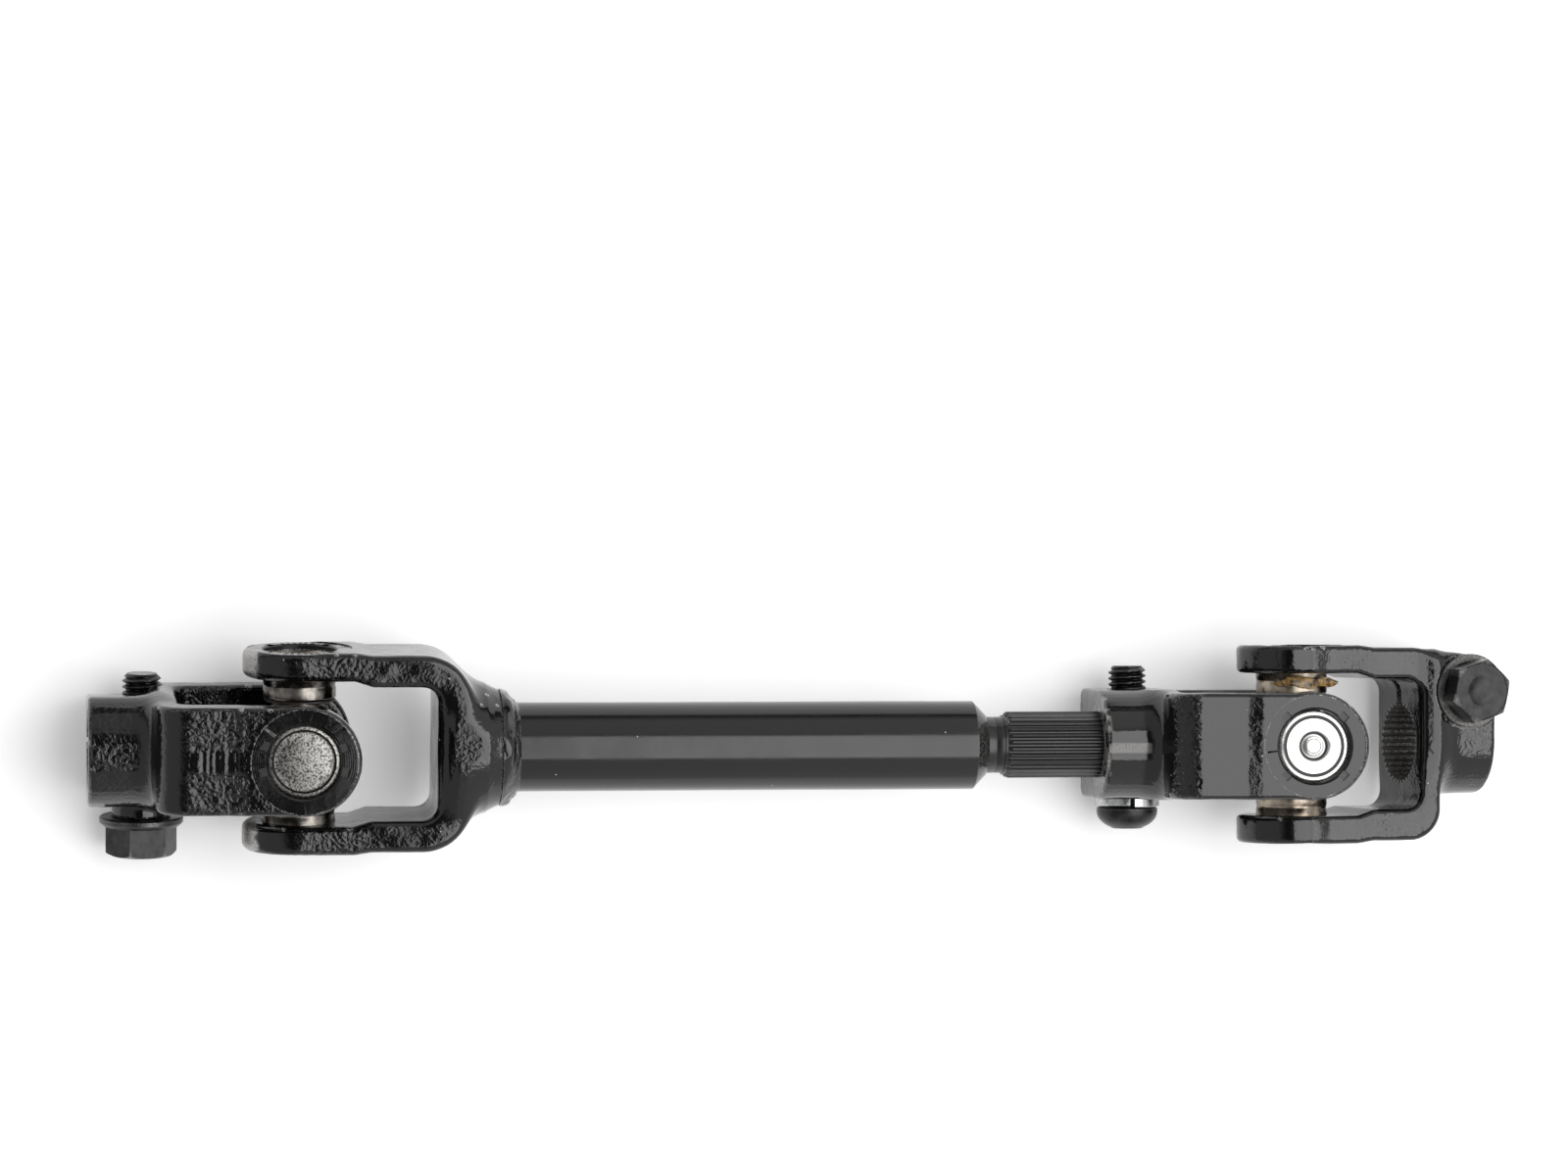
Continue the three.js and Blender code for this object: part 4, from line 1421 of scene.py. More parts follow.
@dataclass
class Bearings(SubAssembly):
    """The cups, seals and needles in a yoke's two ears."""

    prefix: str
    end: CupEnd
    face_coat: Coat
    radius: float = 7.5
    face: float = 19.5
    mouth: float = 10.6
    trunnion: float = 4.45
    wall: float = 0.95

    def cup_profile(self) -> list[Point]:
        """List the cup's profile from its bore, round its mouth and rim to the middle of its end.

        Returns:
            Radii and heights in mm.
        """
        r, face, mouth, bore = self.radius, self.face, self.mouth, self.radius - self.wall
        outside = [(bore, face - 1.9), (bore, mouth + 0.3), (bore + 0.25, mouth), (r - 0.3, mouth)]
        outside += [(r, mouth + 0.3), (r, mouth + 2.2), (r - 0.12, mouth + 2.4), (r - 0.12, mouth + 3.0)]
        outside += [(r, mouth + 3.2), (r, face - 0.62)]
        outside += [(rr, hh) for rr, hh in arc((r - 0.55, face - 0.62), 0.55, 0, 90, 22.5)]
        if self.end is CupEnd.DOMED:
            top = [(r - 0.95, face + 0.02), (r - 1.25, face - 0.28), (r - 1.55, face - 0.5)]
            top += [(r - 1.95, face - 0.48)]
            shares = (0.92, 0.8, 0.65, 0.5, 0.33, 0.16)
            top += [(s * (r - 2.0), face - 0.48 + 0.5 * (1 - s * s)) for s in shares]
            top += [(0, face + 0.02)]
        else:
            top = [(r - 1.0, face), (r - 1.22, face - 0.16), (r - 1.5, face - 0.16), (r - 1.72, face - 0.02)]
            top += [(3.35, face - 0.02), (3.1, face - 0.12), (2.75, face - 0.45), (2.5, face - 0.5)]
            top += [(2.2, face - 0.45), (1.95, face - 0.3), (1.6, face - 0.22), (0.8, face - 0.18)]
            top += [(0, face - 0.17)]
        return [(0, face - 1.9), *outside, *top]

    def lip_profile(self) -> list[Point]:
        """List the seal's profile: a lip on the pin, a skirt under the cup's mouth and a root inside it.

        Returns:
            Radii and heights in mm.
        """
        inner, outer = self.trunnion + 0.12, self.radius - 0.2
        root, top = self.mouth + 1.4, self.mouth - 0.15
        lip = [(inner, root), (inner, top - 0.4), (inner + 0.5, top - 0.75), (5.6, top - 0.55)]
        skirt = [(outer - 0.4, top - 0.6), (outer, top - 0.35), (outer, top)]
        return [*lip, *skirt, (6.3, top), (6.2, root), (inner, root)]

    def build(self) -> None:
        """Build both ears' sets."""
        for side, flip in (("upper", 0), ("lower", 180)):
            place = turn("X", flip)
            stem = f"{self.prefix}_{side}"
            cup = self.add(f"{stem}_bearing_cup", Turning(self.cup_profile(), 96).mesh("cup", place))
            self.finish(cup, self.face_coat, "cup_steel", f"{stem}_cup")
            seal = self.add(f"{stem}_lip_seal", Turning(self.lip_profile(), 72).mesh("seal", place))
            self.finish(seal, Coat.SEAL, "seal_rubber", f"{stem}_seal")


@dataclass
class GreaseFlake(SubAssembly):
    """A curled flake of dried grease that clings to a cup's barrel."""

    name: str = "dried_grease_flake"
    start: float = -5.2
    length: float = 14.0
    height: float = 13.1
    barrel: float = 7.75
    leaves: float = 3.0  # the place along its length where it leaves the barrel

    def build(self) -> None:
        """Build the flake as a thin wavy sheet with torn edges."""
        along, across, thick = 40, 9, 0.14
        tear, wave = Noise(91), Noise(92)
        u = np.repeat(np.linspace(0, 1, along), across)
        v = np.tile(np.linspace(-1, 1, across), along)
        x = self.start + self.length * u
        seed = np.stack([x, 3 * v, 0 * x], axis=-1)
        leaf = 0.25 + 0.95 * np.sin(math.pi * np.clip(u * 1.02, 0, 1)) ** 0.6
        half = leaf * (1 + 0.4 * tear.at(seed, 1.3))
        hugging = np.sqrt(self.barrel**2 - np.minimum(x, self.leaves) ** 2)
        tail = np.sqrt(self.barrel**2 - self.leaves**2) - 0.32 * (x - self.leaves)
        y = np.where(x < self.leaves, hugging, tail) + 0.3 * wave.at(seed, 2.4) + 0.25 * v * v
        z = self.height + v * half + 0.35 * wave.at(seed + 9.0, 4.0)
        front = np.stack([x, y, z], axis=-1)
        points = np.concatenate([front, front - (0, thick, 0)])
        count = along * across
        faces: list[Sequence[int]] = []
        rim = [i * across for i in range(along)] + [(along - 1) * across + j for j in range(1, across)]
        rim += [i * across + across - 1 for i in range(along - 2, -1, -1)] + list(range(across - 2, 0, -1))
        for i in range(along - 1):
            for j in range(across - 1):
                a, b = i * across + j, (i + 1) * across + j
                faces += [(a, b, b + 1, a + 1), (count + a, count + a + 1, count + b + 1, count + b)]
        faces += [(b, a, count + a, count + b) for a, b in zip(rim, [*rim[1:], rim[0]])]
        self.finish(self.add(self.name, make_mesh(self.name, points, faces)), Coat.GREASE, "seal_rubber")


@dataclass
class Cross(SubAssembly):
    """The forged cross with its four ground pins."""

    node: str
    seed: int
    pin: float = 4.45
    pin_end: float = 17.3
    shoulder: float = 6.1
    shoulder_end: float = 8.8
    core: float = 7.4

    def build(self) -> None:
        """Build the cross as one smooth casting-like body."""
        block = Block((-9.0, -18.5, -18.5), (9.0, 18.5, 18.5), 0.4)
        x, y, z = block.axes()
        shape = np.sqrt(x * x + y * y + z * z) - self.core
        for along, radial in ((y, np.hypot(x, z)), (z, np.hypot(x, y))):
            wide = meet(radial - self.shoulder, np.abs(along) - self.shoulder_end, 0.5)
            thin = meet(radial - self.pin, np.abs(along) - self.pin_end, 0.5)
            shape = np.minimum(merge(shape, wide, 2.4), thin)
        points, faces = block.surface(shape)
        radius = np.linalg.norm(points, axis=1)
        points = points * (1 + 0.012 * Noise(self.seed).at(points, 3.0) * ramp(-radius, -9.0, -8.0))[:, None]
        cross = self.add(f"{self.node}_forging", make_mesh("cross", points, faces))
        self.finish(cross, Coat.CROSS, "ground_steel", self.node)


# ---- Fasteners ------------------------------------------------------------------------------------------


def thread_rows(low: float, high: float, radius: float, pitch: float) -> list[Point]:
    """List a threaded length's profile rows.

    Args:
        low: Where the thread starts.
        high: Where it ends.
        radius: The radius over its crests.
        pitch: Its pitch, which has eight rows.

    Returns:
        Radii and heights in mm.
    """
    count = max(2, round((high - low) / pitch * 8))
    return [(radius, h) for h in np.linspace(low, high, count + 1).tolist()]


@dataclass
class Fastener(SubAssembly):
    """An M8 fastener on a clamp's bolt axis; heights run from the clamp's middle towards the head."""

    name: str
    node: str
    boss_radius: float
    tail: float
    seat: float
    radius: float = 4.0
    pitch: float = 1.25
    spin: float = 0.0

    def shank(self) -> list[Point]:
        """List the shank's profile from its tip: chamfer, thread and plain part.

        Returns:
            Radii and heights in mm.
        """
        tip = -self.boss_radius - self.tail
        rows = [(0, tip), (self.radius - 0.9, tip)]
        rows += thread_rows(tip + 0.02, -self.boss_radius + 3.0, self.radius, self.pitch)
        return [*rows, (self.radius - 0.02, -self.boss_radius + 3.2), (self.radius - 0.02, self.seat)]

    def cut_thread(self, angle: Array, radius: Array, height: Array) -> Array:
        """Sink the thread's groove into the shank's rows.

        Args:
            angle: The angle of each column.
            radius: The radius of each point.
            height: The height of each point.

        Returns:
            The new radii.
        """
        tip = -self.boss_radius - self.tail
        depth = 0.61 * self.pitch
        phase = (height / self.pitch - angle / (2 * math.pi)) % 1.0
        groove = np.clip((np.abs(phase - 0.5) * 2 - 0.14) / 0.62, 0, 1)
        runout = ramp(-height, self.boss_radius - 3.0, self.boss_radius - 1.8)
        threaded = (height > tip) & (height < -self.boss_radius + 3.1) & (radius > self.radius - 0.5)
        cut = np.where(threaded, radius - depth * (1 - groove) * runout, radius)
        taper = self.radius - 0.95 + (height - tip)
        return np.where(threaded, np.minimum(cut, taper), cut)

    def at(self) -> Matrix:
        """Give the turning's place on the bolt axis."""
        return ALONG_Y @ turn("Z", self.spin)


def hexagon(angle: Array, across: float) -> Array:
    """Give a hexagon's radius at each angle."""
    turned = (angle + math.pi / 6) % (math.pi / 3) - math.pi / 6
    return across / 2 / np.cos(turned)


@dataclass
class HexBolt(Fastener):
    """A hexagon-head bolt, with or without a flange under its head."""

    across: float = 12.0
    head: float = 5.3
    flange_radius: float = 0.0
    flange_height: float = 2.05
    chamfer: float = math.radians(28)

    def shape(self, angle: Array, radius: Array, height: Array) -> tuple[Array, Array]:
        """Give the head its six sides and cut the thread.

        Args:
            angle: The angle of each column.
            radius: The radius of each point.
            height: The height of each point.

        Returns:
            The new radii and heights.
        """
        start = self.seat + (self.flange_height if self.flange_radius else 0.0)
        side = hexagon(angle, self.across)
        corner = self.across / math.sqrt(3)
        is_side = (height > start - 0.01) & (np.abs(radius - corner) < 0.01)
        turned_off = np.maximum(side - (self.across / 2 - 0.25), 0) * math.tan(self.chamfer)
        top = is_side & (height > start + 0.5)
        height = np.where(top, height - turned_off, height)
        radius = np.where(is_side, np.broadcast_to(side, radius.shape), radius)
        return self.cut_thread(angle, radius, height), height

    def build(self) -> None:
        """Build and dress the bolt."""
        top, corner = self.seat + self.head, self.across / math.sqrt(3)
        rows = self.shank()
        if self.flange_radius:
            low, wide = self.seat, self.flange_radius
            rows += [(wide - 0.35, low), (wide, low + 0.3), (wide, low + 1.15), (wide - 0.3, low + 1.5)]
            rows += [(corner + 0.3, low + 2.0), (corner, low + self.flange_height)]
        else:
            rows += [(corner - 0.6, self.seat), (corner, self.seat)]
        rows += [(corner, top), (self.across / 2 - 0.25, top), (self.across / 2 - 0.5, top - 0.01)]
        rows += [(self.across / 2 - 0.9, top - 0.02), (4.2, top - 0.02), (3.4, top - 0.02)]
        rows += [(3.1, top - 0.02), (2.9, top - 0.12), (1.0, top - 0.12), (0, top - 0.12)]
        bolt = self.add(self.name, Turning(rows, 96, self.shape).mesh(self.name, self.at()))
        self.finish(bolt, Coat.OXIDE, "black_oxide", self.node)


@dataclass
class ButtonScrew(Fastener):
    """A socket screw with a low round head."""

    head_radius: float = 6.5
    head: float = 4.6
    socket: float = 5.0
    socket_depth: float = 2.6

    def shape(self, angle: Array, radius: Array, height: Array) -> tuple[Array, Array]:
        """Give the socket its six sides and cut the thread.

        Args:
            angle: The angle of each column.
            radius: The radius of each point.
            height: The height of each point.

        Returns:
            The new radii and heights.
        """
        floor = self.seat + self.head - self.socket_depth
        flat = (height > floor - 0.5) & (radius < self.socket * 0.62)
        side = np.broadcast_to(hexagon(angle, self.socket), radius.shape)
        socketed = np.where(flat & (radius > 0.1), side * radius / (self.socket / math.sqrt(3)), radius)
        return self.cut_thread(angle, socketed, height), height

    def build(self) -> None:
        """Build and dress the screw."""
        rows = [*self.shank(), (self.head_radius - 0.4, self.seat), (self.head_radius, self.seat + 0.35)]
        rows += [(self.head_radius, self.seat + 0.9)]
        rise, low, last = self.head - 0.9, self.seat + 0.9, math.radians(64)
        for share in np.linspace(0.15, 1, 9).tolist():
            angle = share * last
            height = low + rise * math.sin(angle) / math.sin(last)
            rows.append((self.head_radius * math.cos(angle), height))
        top, hole = self.seat + self.head, self.socket / math.sqrt(3)
        rows[-1] = (hole + 0.25, top)
        rows += [(hole, top - 0.2), (hole, top - self.socket_depth), (0, top - self.socket_depth - 0.6)]
        screw = self.add(self.name, Turning(rows, 96, self.shape).mesh(self.name, self.at()))
        self.finish(screw, Coat.OXIDE, "black_oxide", self.node)


@dataclass
class Washer(SubAssembly):
    """A washer on a clamp's bolt axis: a plain one, or a split one whose ends stand apart."""

    name: str
    node: str
    coat: Coat
    slot: str
    low: float
    thickness: float
    radius: float
    hole: float = 4.2
    gap: float = 0.0
    gap_angle: float = 90.0
    step: float = 0.0

    def build(self) -> None:
        """Build and dress the washer."""
        top, edge = self.low + self.thickness, 0.15
        section = [(self.hole, self.low + edge), (self.hole + edge, self.low), (self.radius - edge, self.low)]
        section += [(self.radius, self.low + edge), (self.radius, top - edge), (self.radius - edge, top)]
        section += [(self.hole + edge, top), (self.hole, top - edge)]
        if not self.gap:
            mesh = Turning([*section, section[0]], 96).mesh(self.name, ALONG_Y)
        else:
            mesh = self.split_mesh(section)
        self.finish(self.add(self.name, mesh), self.coat, self.slot, self.node)

    def split_mesh(self, section: Sequence[Point]) -> bpy.types.Mesh:
        """Sweep the section round to a gap, rising a little so that the ends stand apart.

        Args:
            section: The washer's section, as radii and heights.

        Returns:
            The closed mesh.
        """
        sides, half = 88, math.degrees(self.gap / 2 / self.radius)
        angles = np.radians(np.linspace(self.gap_angle + half, self.gap_angle + 360 - half, sides))
        rise = np.linspace(0.0, self.step, sides)
        middle, squash = self.low + self.thickness / 2, 1 - self.step / self.thickness
        points = [
            (r * math.cos(a), r * math.sin(a), middle + (h - middle) * squash + up - self.step / 2)
            for a, up in zip(angles, rise)
            for r, h in section
        ]
        count = len(section)
        pairs = [(i, (i + 1) % count) for i in range(count)]
        faces: list[Sequence[int]] = [
            (row + i, row + j, row + count + j, row + count + i)
            for row in range(0, (sides - 1) * count, count)
            for i, j in pairs
        ]
        faces += [tuple(reversed(range(count))), tuple(range((sides - 1) * count, sides * count))]
        return make_mesh(self.name, np.array(points), faces, ALONG_Y)


# ---- Shaft ----------------------------------------------------------------------------------------------


@dataclass
class Shaft(SubAssembly):
    """The tube, its weld and the splined stub, along +X."""

    tube_radius: float = 9.3
    tube_bore: float = 6.3
    tube_start: float = -63.4
    tube_end: float = 38.75
    cone_angle: float = 46.0
    neck_radius: float = 5.9
    spline_start: float = 42.35
    stub_end: float = 79.0
    crest: float = 6.95
    root: float = 6.3
    teeth: int = 30
    weld_at: float = -63.75
    weld_length: float = 3.6
    weld_top: float = 12.0
    ripples: int = 17

    def tube(self) -> None:
        """Build the tube with its coned end."""
        r, end, mouth = self.tube_radius, self.tube_end, self.neck_radius + 0.45
        cone = (r - mouth) / math.tan(math.radians(self.cone_angle))
        start = end - cone
        rows = [(self.tube_bore, self.tube_start), (r, self.tube_start)]
        rows += [(r, h) for h in np.linspace(self.tube_start + 2, start - 2, 40).tolist()]
        rows += [(r, start - 0.15), (r - 0.06, start + 0.12), (mouth + 0.1, end - 0.05), (mouth, end)]
        hole = self.neck_radius + 0.15
        rows += [(hole, end), (hole, end - 2), (self.tube_bore, end - 3), (self.tube_bore, self.tube_start)]
        wobble = Noise(31)

        def shape(angle: Array, radius: Array, height: Array) -> tuple[Array, Array]:
            """Draw the tube a little out of true.

            Args:
                angle: The angle of each column.
                radius: The radius of each point.
                height: The height of each point.

            Returns:
                The new radii and heights.
            """
            across = np.broadcast_to(angle, height.shape)
            spot = np.stack([9 * np.cos(across), 9 * np.sin(across), height], axis=-1)
            dent = wobble.at(spot.reshape(-1, 3), 14.0).reshape(height.shape)
            return np.where(radius > r - 0.01, radius - 0.03 * (1 + dent), radius), height

        tube = self.add("tube_body", Turning(rows, 144, shape).mesh("tube", ALONG_X))
        self.finish(tube, Coat.TUBE, "tube_enamel", "shaft_tube")

    def stub(self) -> None:
        """Build the neck and the splines, whose teeth start a little unevenly."""
        begin, end, neck, tube = self.spline_start, self.stub_end, self.neck_radius, self.tube_end
        rows = [(0, tube - 18), (neck, tube - 18), (neck, tube - 1)]
        rows += [(neck, tube + 1.6), (neck - 0.12, tube + 1.8), (neck, tube + 2.0), (neck, begin - 0.1)]
        rows += [(self.crest, begin + step) for step in (0.0, 0.25, 0.5, 0.75, 1.0, 1.3, 1.7)]
        rows += [(self.crest, h) for h in np.linspace(begin + 4, end - 1, 6)]
        rows += [(self.crest, end - 0.6), (self.crest - 0.5, end), (self.crest - 0.55, end), (0, end)]
        ragged = np.random.default_rng(5).uniform(-0.22, 0.22, self.teeth)

        def shape(angle: Array, radius: Array, height: Array) -> tuple[Array, Array]:
            """Cut the gaps between the teeth, each with its own run-in from the neck.

            Args:
                angle: The angle of each column.
                radius: The radius of each point.
                height: The height of each point.

            Returns:
                The new radii and heights.
            """
            turned = angle * self.teeth / (2 * math.pi)
            phase, tooth = turned % 1.0, np.floor(turned).astype(int) % self.teeth
            flank = np.clip((np.abs(phase - 0.5) - 0.17) / 0.15, 0, 1)
            profile = self.crest - (self.crest - self.root) * flank
            ramped = self.neck_radius + 0.1 + (height - begin - 0.25 - ragged[tooth]) * 1.1
            cut = np.minimum(profile, np.maximum(ramped, np.minimum(self.root, self.neck_radius + 0.35)))
            return np.where(radius > self.root + 0.2, np.minimum(cut, radius), radius), height

        stub = self.add("splined_shaft_end", Turning(rows, self.teeth * 10, shape).mesh("stub", ALONG_X))
        self.finish(stub, Coat.SPLINE, "black_oxide", "splined_stub")

    def weld(self) -> None:
        """Build the weld: a lumpy bead with fine ripples and a crease beside the tube."""
        start, length, top, foot = self.weld_at, self.weld_length, self.weld_top, self.tube_radius
        rows = [(foot + 0.02, start - 0.2), (top - 0.6, start - 0.25), (top + 0.2, start)]
        rows += [(0.0, h) for h in np.linspace(start + 0.3, start + length, 14).tolist()]
        rows += [(foot + 0.02, start + length + 0.3), (foot + 0.02, start - 0.2)]
        lumps, fine = Noise(77), Noise(78)

        def shape(angle: Array, radius: Array, height: Array) -> tuple[Array, Array]:
            """Swell the rows that wait at radius 0 into the bead.

            Args:
                angle: The angle of each column.
                radius: The radius of each point.
                height: The height of each point.

            Returns:
                The new radii and heights.
            """
            share = np.clip((height - start) / length, 0, 1)
            across = np.broadcast_to(angle, height.shape)
            spot = np.stack([12 * np.cos(across), 12 * np.sin(across), height], axis=-1)
            flat = spot.reshape(-1, 3)
            lump = lumps.at(flat, 3.6).reshape(height.shape)
            grit = fine.at(flat, 1.3).reshape(height.shape)
            crown = np.sin(math.pi * np.clip(share * 0.96 + 0.04, 0, 1)) ** 0.8
            scallop = 0.05 * np.sin(angle * self.ripples + 5 * share + 3 * lump)
            crease = 0.55 * np.exp(-(((share - 0.72 + 0.1 * lump) / 0.09) ** 2)) * (0.6 + 0.6 * lump)
            body = crown * (0.6 + 0.5 * lump + scallop + 0.12 * grit) - crease
            swell = top + (foot + 0.3 - top) * share ** 1.2 + body
            creep = height + 0.55 * lump * np.sin(math.pi * share) + np.where(share > 0.9, 0.7 * lump, 0)
            return np.where(radius == 0, swell, radius), np.where(radius == 0, creep, height)

        bead = self.add("weld_fillet", Turning(rows, 220, shape).mesh("weld", ALONG_X))
        self.finish(bead, Coat.WELD, "weld_enamel", "weld_bead")


# ---- Stage ----------------------------------------------------------------------------------------------


@dataclass(frozen=True)
class Stage:
    """The paper sweep, the studio light and the camera. Lengths are mm, and the slant is degrees."""

    floor_height: float = -22.3
    aim: tuple[float, float, float] = (-3.85, 33.0, 0.0)
    distance: float = 1100.0
    slant: float = 8.5
    lens: float = 120.7
    softbox_centre: tuple[float, float, float] = (655.0, -40.0, 1280.0)
    softbox_size: Point = (1220.0, 1400.0)
    softbox_watts: float = 19.0

    def floor(self, wardrobe: Wardrobe) -> None:
        """Lay the paper.

        Args:
            wardrobe: The materials.
        """
        half = 2500.0
        sheet = [(-half, -half), (half, -half), (half, half), (-half, half)]
        mesh = make_mesh("sweep", np.array([(x, y, self.floor_height) for x, y in sheet]), [(0, 1, 2, 3)])
        if mesh.polygons[0].normal.z < 0:
            mesh.flip_normals()
        sweep = make_object("paper_sweep", mesh)
        wardrobe.put_on(sweep, Coat.FLOOR)

    def world(self) -> None:
        """Light the surroundings: a white tent, dimmer overhead and along the far side."""
        world = bpy.data.worlds.new("tent")
        bpy.context.scene.world = world
        world.use_nodes = True
        tree = world.node_tree
        tree.nodes.clear()
        add = partial(add_node, tree)
        ray = add("TexCoord").outputs["Generated"]
        x, y, z = add("SeparateXYZ", {"Vector": ray}).outputs
        above = {"Value": z, "From Min": 0.80, "From Max": 0.92}
        overhead = add("MapRange", {**above, "To Min": 1.0, "To Max": 0.10})
        horizon = {"Value": z, "From Min": 0.08, "From Max": 0.30}
        low = add("MapRange", {**horizon, "To Min": 1.0, "To Max": 0.0})
        far = add("MapRange", {"Value": y, "From Min": 0.25, "From Max": 0.55, "To Max": 0.92})
        gap = add("Math", {0: low, 1: far}, operation="MULTIPLY")
        shade = add("Math", {0: 1.0, 1: gap}, operation="SUBTRACT")
        side = add("MapRange", {"Value": x, "From Min": 0.0, "From Max": 0.15, "To Min": 0.62})
        level = add("Math", {0: overhead, 1: shade}, operation="MULTIPLY")
        level = add("Math", {0: level, 1: side}, operation="MULTIPLY")
        glow = add("Background", {"Color": linear("#ffffff"), "Strength": level})
        add("OutputWorld", {"Surface": glow})

    def softbox(self) -> None:
        """Hang an area light that faces straight down."""
        lamp = bpy.data.lights.new("key_softbox", "AREA")
        lamp.shape, lamp.energy = "RECTANGLE", self.softbox_watts
        lamp.size, lamp.size_y = (side * MM for side in self.softbox_size)
        thing = bpy.data.objects.new("key_softbox", lamp)
        bpy.context.scene.collection.objects.link(thing)
        thing.location = Vector(self.softbox_centre) * MM

    def camera(self) -> None:
        """Set the camera."""
        data = bpy.data.cameras.new("camera")
        data.lens, data.sensor_width = self.lens, 36.0
        data.clip_start, data.clip_end = 0.05, 20.0
        camera = bpy.data.objects.new("camera", data)
        bpy.context.scene.collection.objects.link(camera)
        angle = math.radians(self.slant)
        back = Vector((-math.sin(angle), 0.0, math.cos(angle)))
        spot = (Vector(self.aim) + back * self.distance) * MM
        right, up = Vector((math.cos(angle), 0.0, math.sin(angle))), Vector((0.0, 1.0, 0.0))
        camera.matrix_world = Matrix.Translation(spot) @ Matrix((right, up, back)).transposed().to_4x4()
        bpy.context.scene.camera = camera

    def build(self, wardrobe: Wardrobe) -> None:
        """Set up the stage.

        Args:
            wardrobe: The materials.
        """
        self.floor(wardrobe)
        self.world()
        self.softbox()
        self.camera()
        bpy.context.scene.view_settings.view_transform = "Standard"


# ---- Assembly -------------------------------------------------------------------------------------------


EVEN_STAKES = (45.0, 135.0, 225.0, 315.0)
LAY = 0.15  # a fastener lies this far off its seat
COLUMN_ROLL = 6.6  # degrees that the column joint lies rolled about the shaft
GEAR_DROP = 10.0  # degrees that the gear clamp hangs down


def joint_place(frame: dict[str, Any], name: str) -> Vector:
    """Give a joint's point in the frame, in metres."""
    return Vector(next(j["pos_m"] for j in frame["joints"] if j["name"] == name))


def build_column_joint(frame: dict[str, Any], wardrobe: Wardrobe) -> None:
    """Build the joint at the steering column's end.

    Args:
        frame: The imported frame.
        wardrobe: The materials.
    """
    centre = Matrix.Translation(joint_place(frame, "column_cross_hinge")) @ turn("X", COLUMN_ROLL)
    clamp_place, weld_place = centre @ turn("Z", 180), centre @ turn("X", -90)
    clamp = ColumnYoke(
        "column_yoke", clamp_place, wardrobe, "column_yoke_forging", "column_clamp_yoke", 11,
        stakes=(14.0, -23.0, 166.0, -160.0), pad=4.0, draft=6.6,
    )
    clamp.build()
    Bearings("column_yoke", clamp_place, wardrobe, "column_yoke", CupEnd.DOMED, Coat.GRAINED).build()
    axis = clamp_place @ Matrix.Translation((clamp.bolt_x * MM, 0, -clamp.bolt_offset * MM))
    HexBolt(
        "column_yoke", axis, wardrobe, "column_flange_bolt", "column_pinch_bolt", clamp.boss_radius,
        tail=2.1, seat=clamp.seat + LAY, across=13.0, head=8.2, flange_radius=8.7, spin=19.5,
    ).build()
    weld = WeldYoke(
        "shaft", weld_place, wardrobe, "weld_yoke_forging", "shaft_weld_yoke", 21,
        base_inner=28.0, base_wall=7.0, outer_corner=10.0, edge_round=1.5, end=42.0, stakes=EVEN_STAKES,
    )
    weld.build()
    Bearings("shaft", weld_place, wardrobe, "weld_yoke", CupEnd.DOMED, Coat.BARREL).build()
    Cross("column_cross", centre, wardrobe, "column_spider", 61).build()


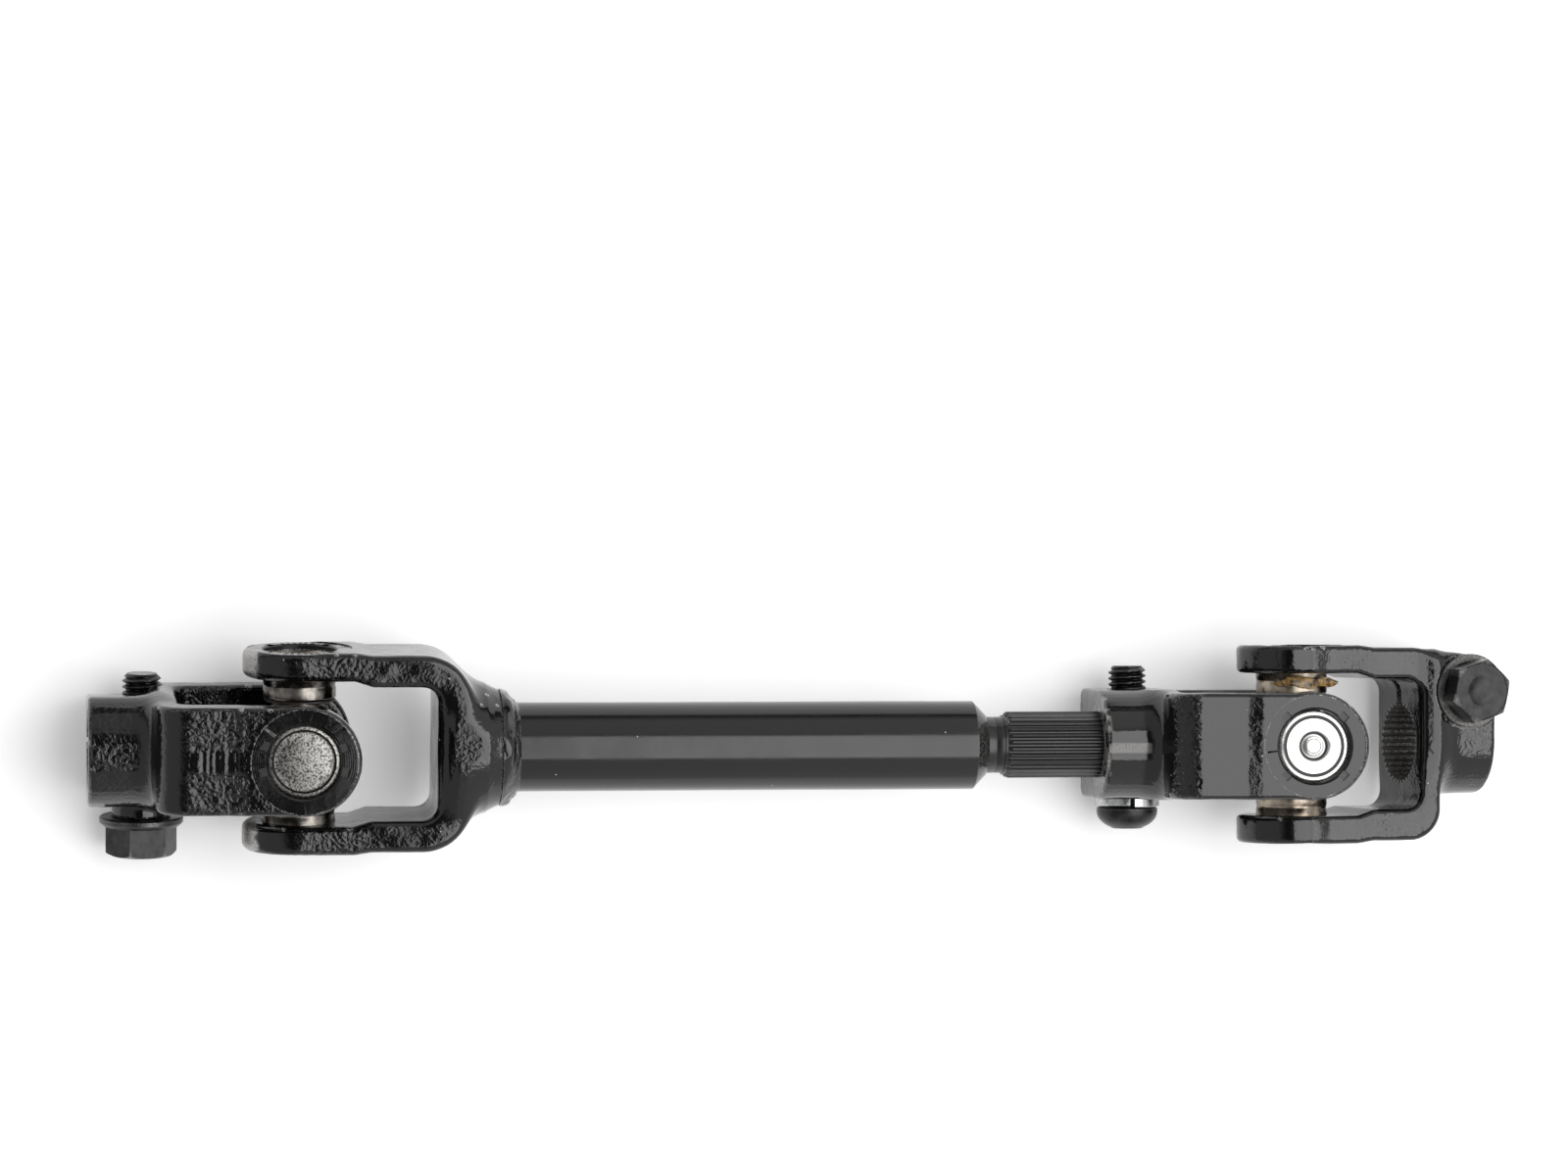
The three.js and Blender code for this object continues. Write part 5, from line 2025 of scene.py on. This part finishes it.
def build_gear_joint(frame: dict[str, Any], wardrobe: Wardrobe) -> None:
    """Build the joint at the steering gear's end.

    Args:
        frame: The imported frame.
        wardrobe: The materials.
    """
    centre = Matrix.Translation(joint_place(frame, "gear_cross_hinge"))
    slip_place, gear_place = centre @ turn("Z", 180), centre @ turn("Y", GEAR_DROP) @ turn("X", 90)
    slip = SlipYoke(
        "slip_yoke", slip_place, wardrobe, "slip_yoke_forging", "slip_clamp_yoke", 31,
        bore=7.8, stakes=EVEN_STAKES, crinkled=0.12,
        end=42.1, boss_radius=11.6, bolt_x=33.2, bolt_offset=11.25, lug_beyond=6.7, seat_radius=7.4,
        teeth=30, bore_crest=6.5, bore_root=7.1,
    )
    slip.build()
    Bearings("slip_yoke", slip_place, wardrobe, "slip_yoke", CupEnd.RINGED, Coat.BRIGHT).build()
    axis = slip_place @ Matrix.Translation((slip.bolt_x * MM, 0, -slip.bolt_offset * MM))
    low = slip.seat + LAY
    Washer(
        "slip_yoke", axis, wardrobe, "split_lock_washer", "slip_lock_washer", Coat.ZINC, "zinc", low,
        thickness=2.2, radius=6.9, gap=1.0, gap_angle=-88.0, step=0.35,
    ).build()
    ButtonScrew(
        "slip_yoke", axis, wardrobe, "slip_button_screw", "slip_pinch_screw", slip.boss_radius,
        tail=4.8, seat=low + 2.3,
    ).build()
    gear = ClampYoke(
        "gear_yoke", gear_place, wardrobe, "gear_yoke_forging", "gear_clamp_yoke", 41, stakes=EVEN_STAKES,
        end=42.5, boss_radius=11.1, bolt_x=36.3, bolt_offset=11.2, lug_beyond=8.2, seat_radius=8.3,
        nose=((-11.0, -1.2), (-3.0, 1.2), (1.0, 5.0)),
    )
    gear.build()
    Bearings("gear_yoke", gear_place, wardrobe, "gear_yoke", CupEnd.RINGED, Coat.TANNED).build()
    axis = gear_place @ Matrix.Translation((gear.bolt_x * MM, 0, -gear.bolt_offset * MM))
    low = gear.seat + LAY
    Washer(
        "gear_yoke", axis, wardrobe, "gear_plain_washer", "gear_bolt_washer", Coat.OXIDE, "black_oxide", low,
        thickness=1.2, radius=7.8,
    ).build()
    HexBolt(
        "gear_yoke", axis, wardrobe, "gear_hex_bolt", "gear_pinch_bolt", gear.boss_radius,
        tail=4.4, seat=low + 1.3, across=12.0, head=5.3, spin=-12.0,
    ).build()
    # The flake's sheet stands across the cup's axis, facing up, with its height along +Y.
    swap = Matrix(((1, 0, 0, 0), (0, 0, 1, 0), (0, 1, 0, 0), (0, 0, 0, 1)))
    GreaseFlake("gear_yoke", centre @ swap, wardrobe).build()
    Cross("gear_cross", centre, wardrobe, "gear_spider", 62).build()


def dress_kept_nodes(frame: dict[str, Any], wardrobe: Wardrobe) -> None:
    """Give the CAD nodes that stay their finish.

    Args:
        frame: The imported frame.
        wardrobe: The materials.
    """
    for name, node in frame["nodes"].items():
        if not node.hide_render:
            wardrobe.put_on(node, Coat.ROLLER)
            LOG.info("%s: kept from the CAD", name)


def main() -> None:
    """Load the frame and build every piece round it."""
    logging.basicConfig(level=logging.INFO, format="%(name)s: %(message)s")
    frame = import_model()
    wardrobe = Wardrobe()
    Stage().build(wardrobe)
    build_column_joint(frame, wardrobe)
    shaft = Shaft("shaft", Matrix.Identity(4), wardrobe)
    shaft.tube()
    shaft.weld()
    shaft.stub()
    build_gear_joint(frame, wardrobe)
    dress_kept_nodes(frame, wardrobe)


if __name__ == "__main__":
    main()
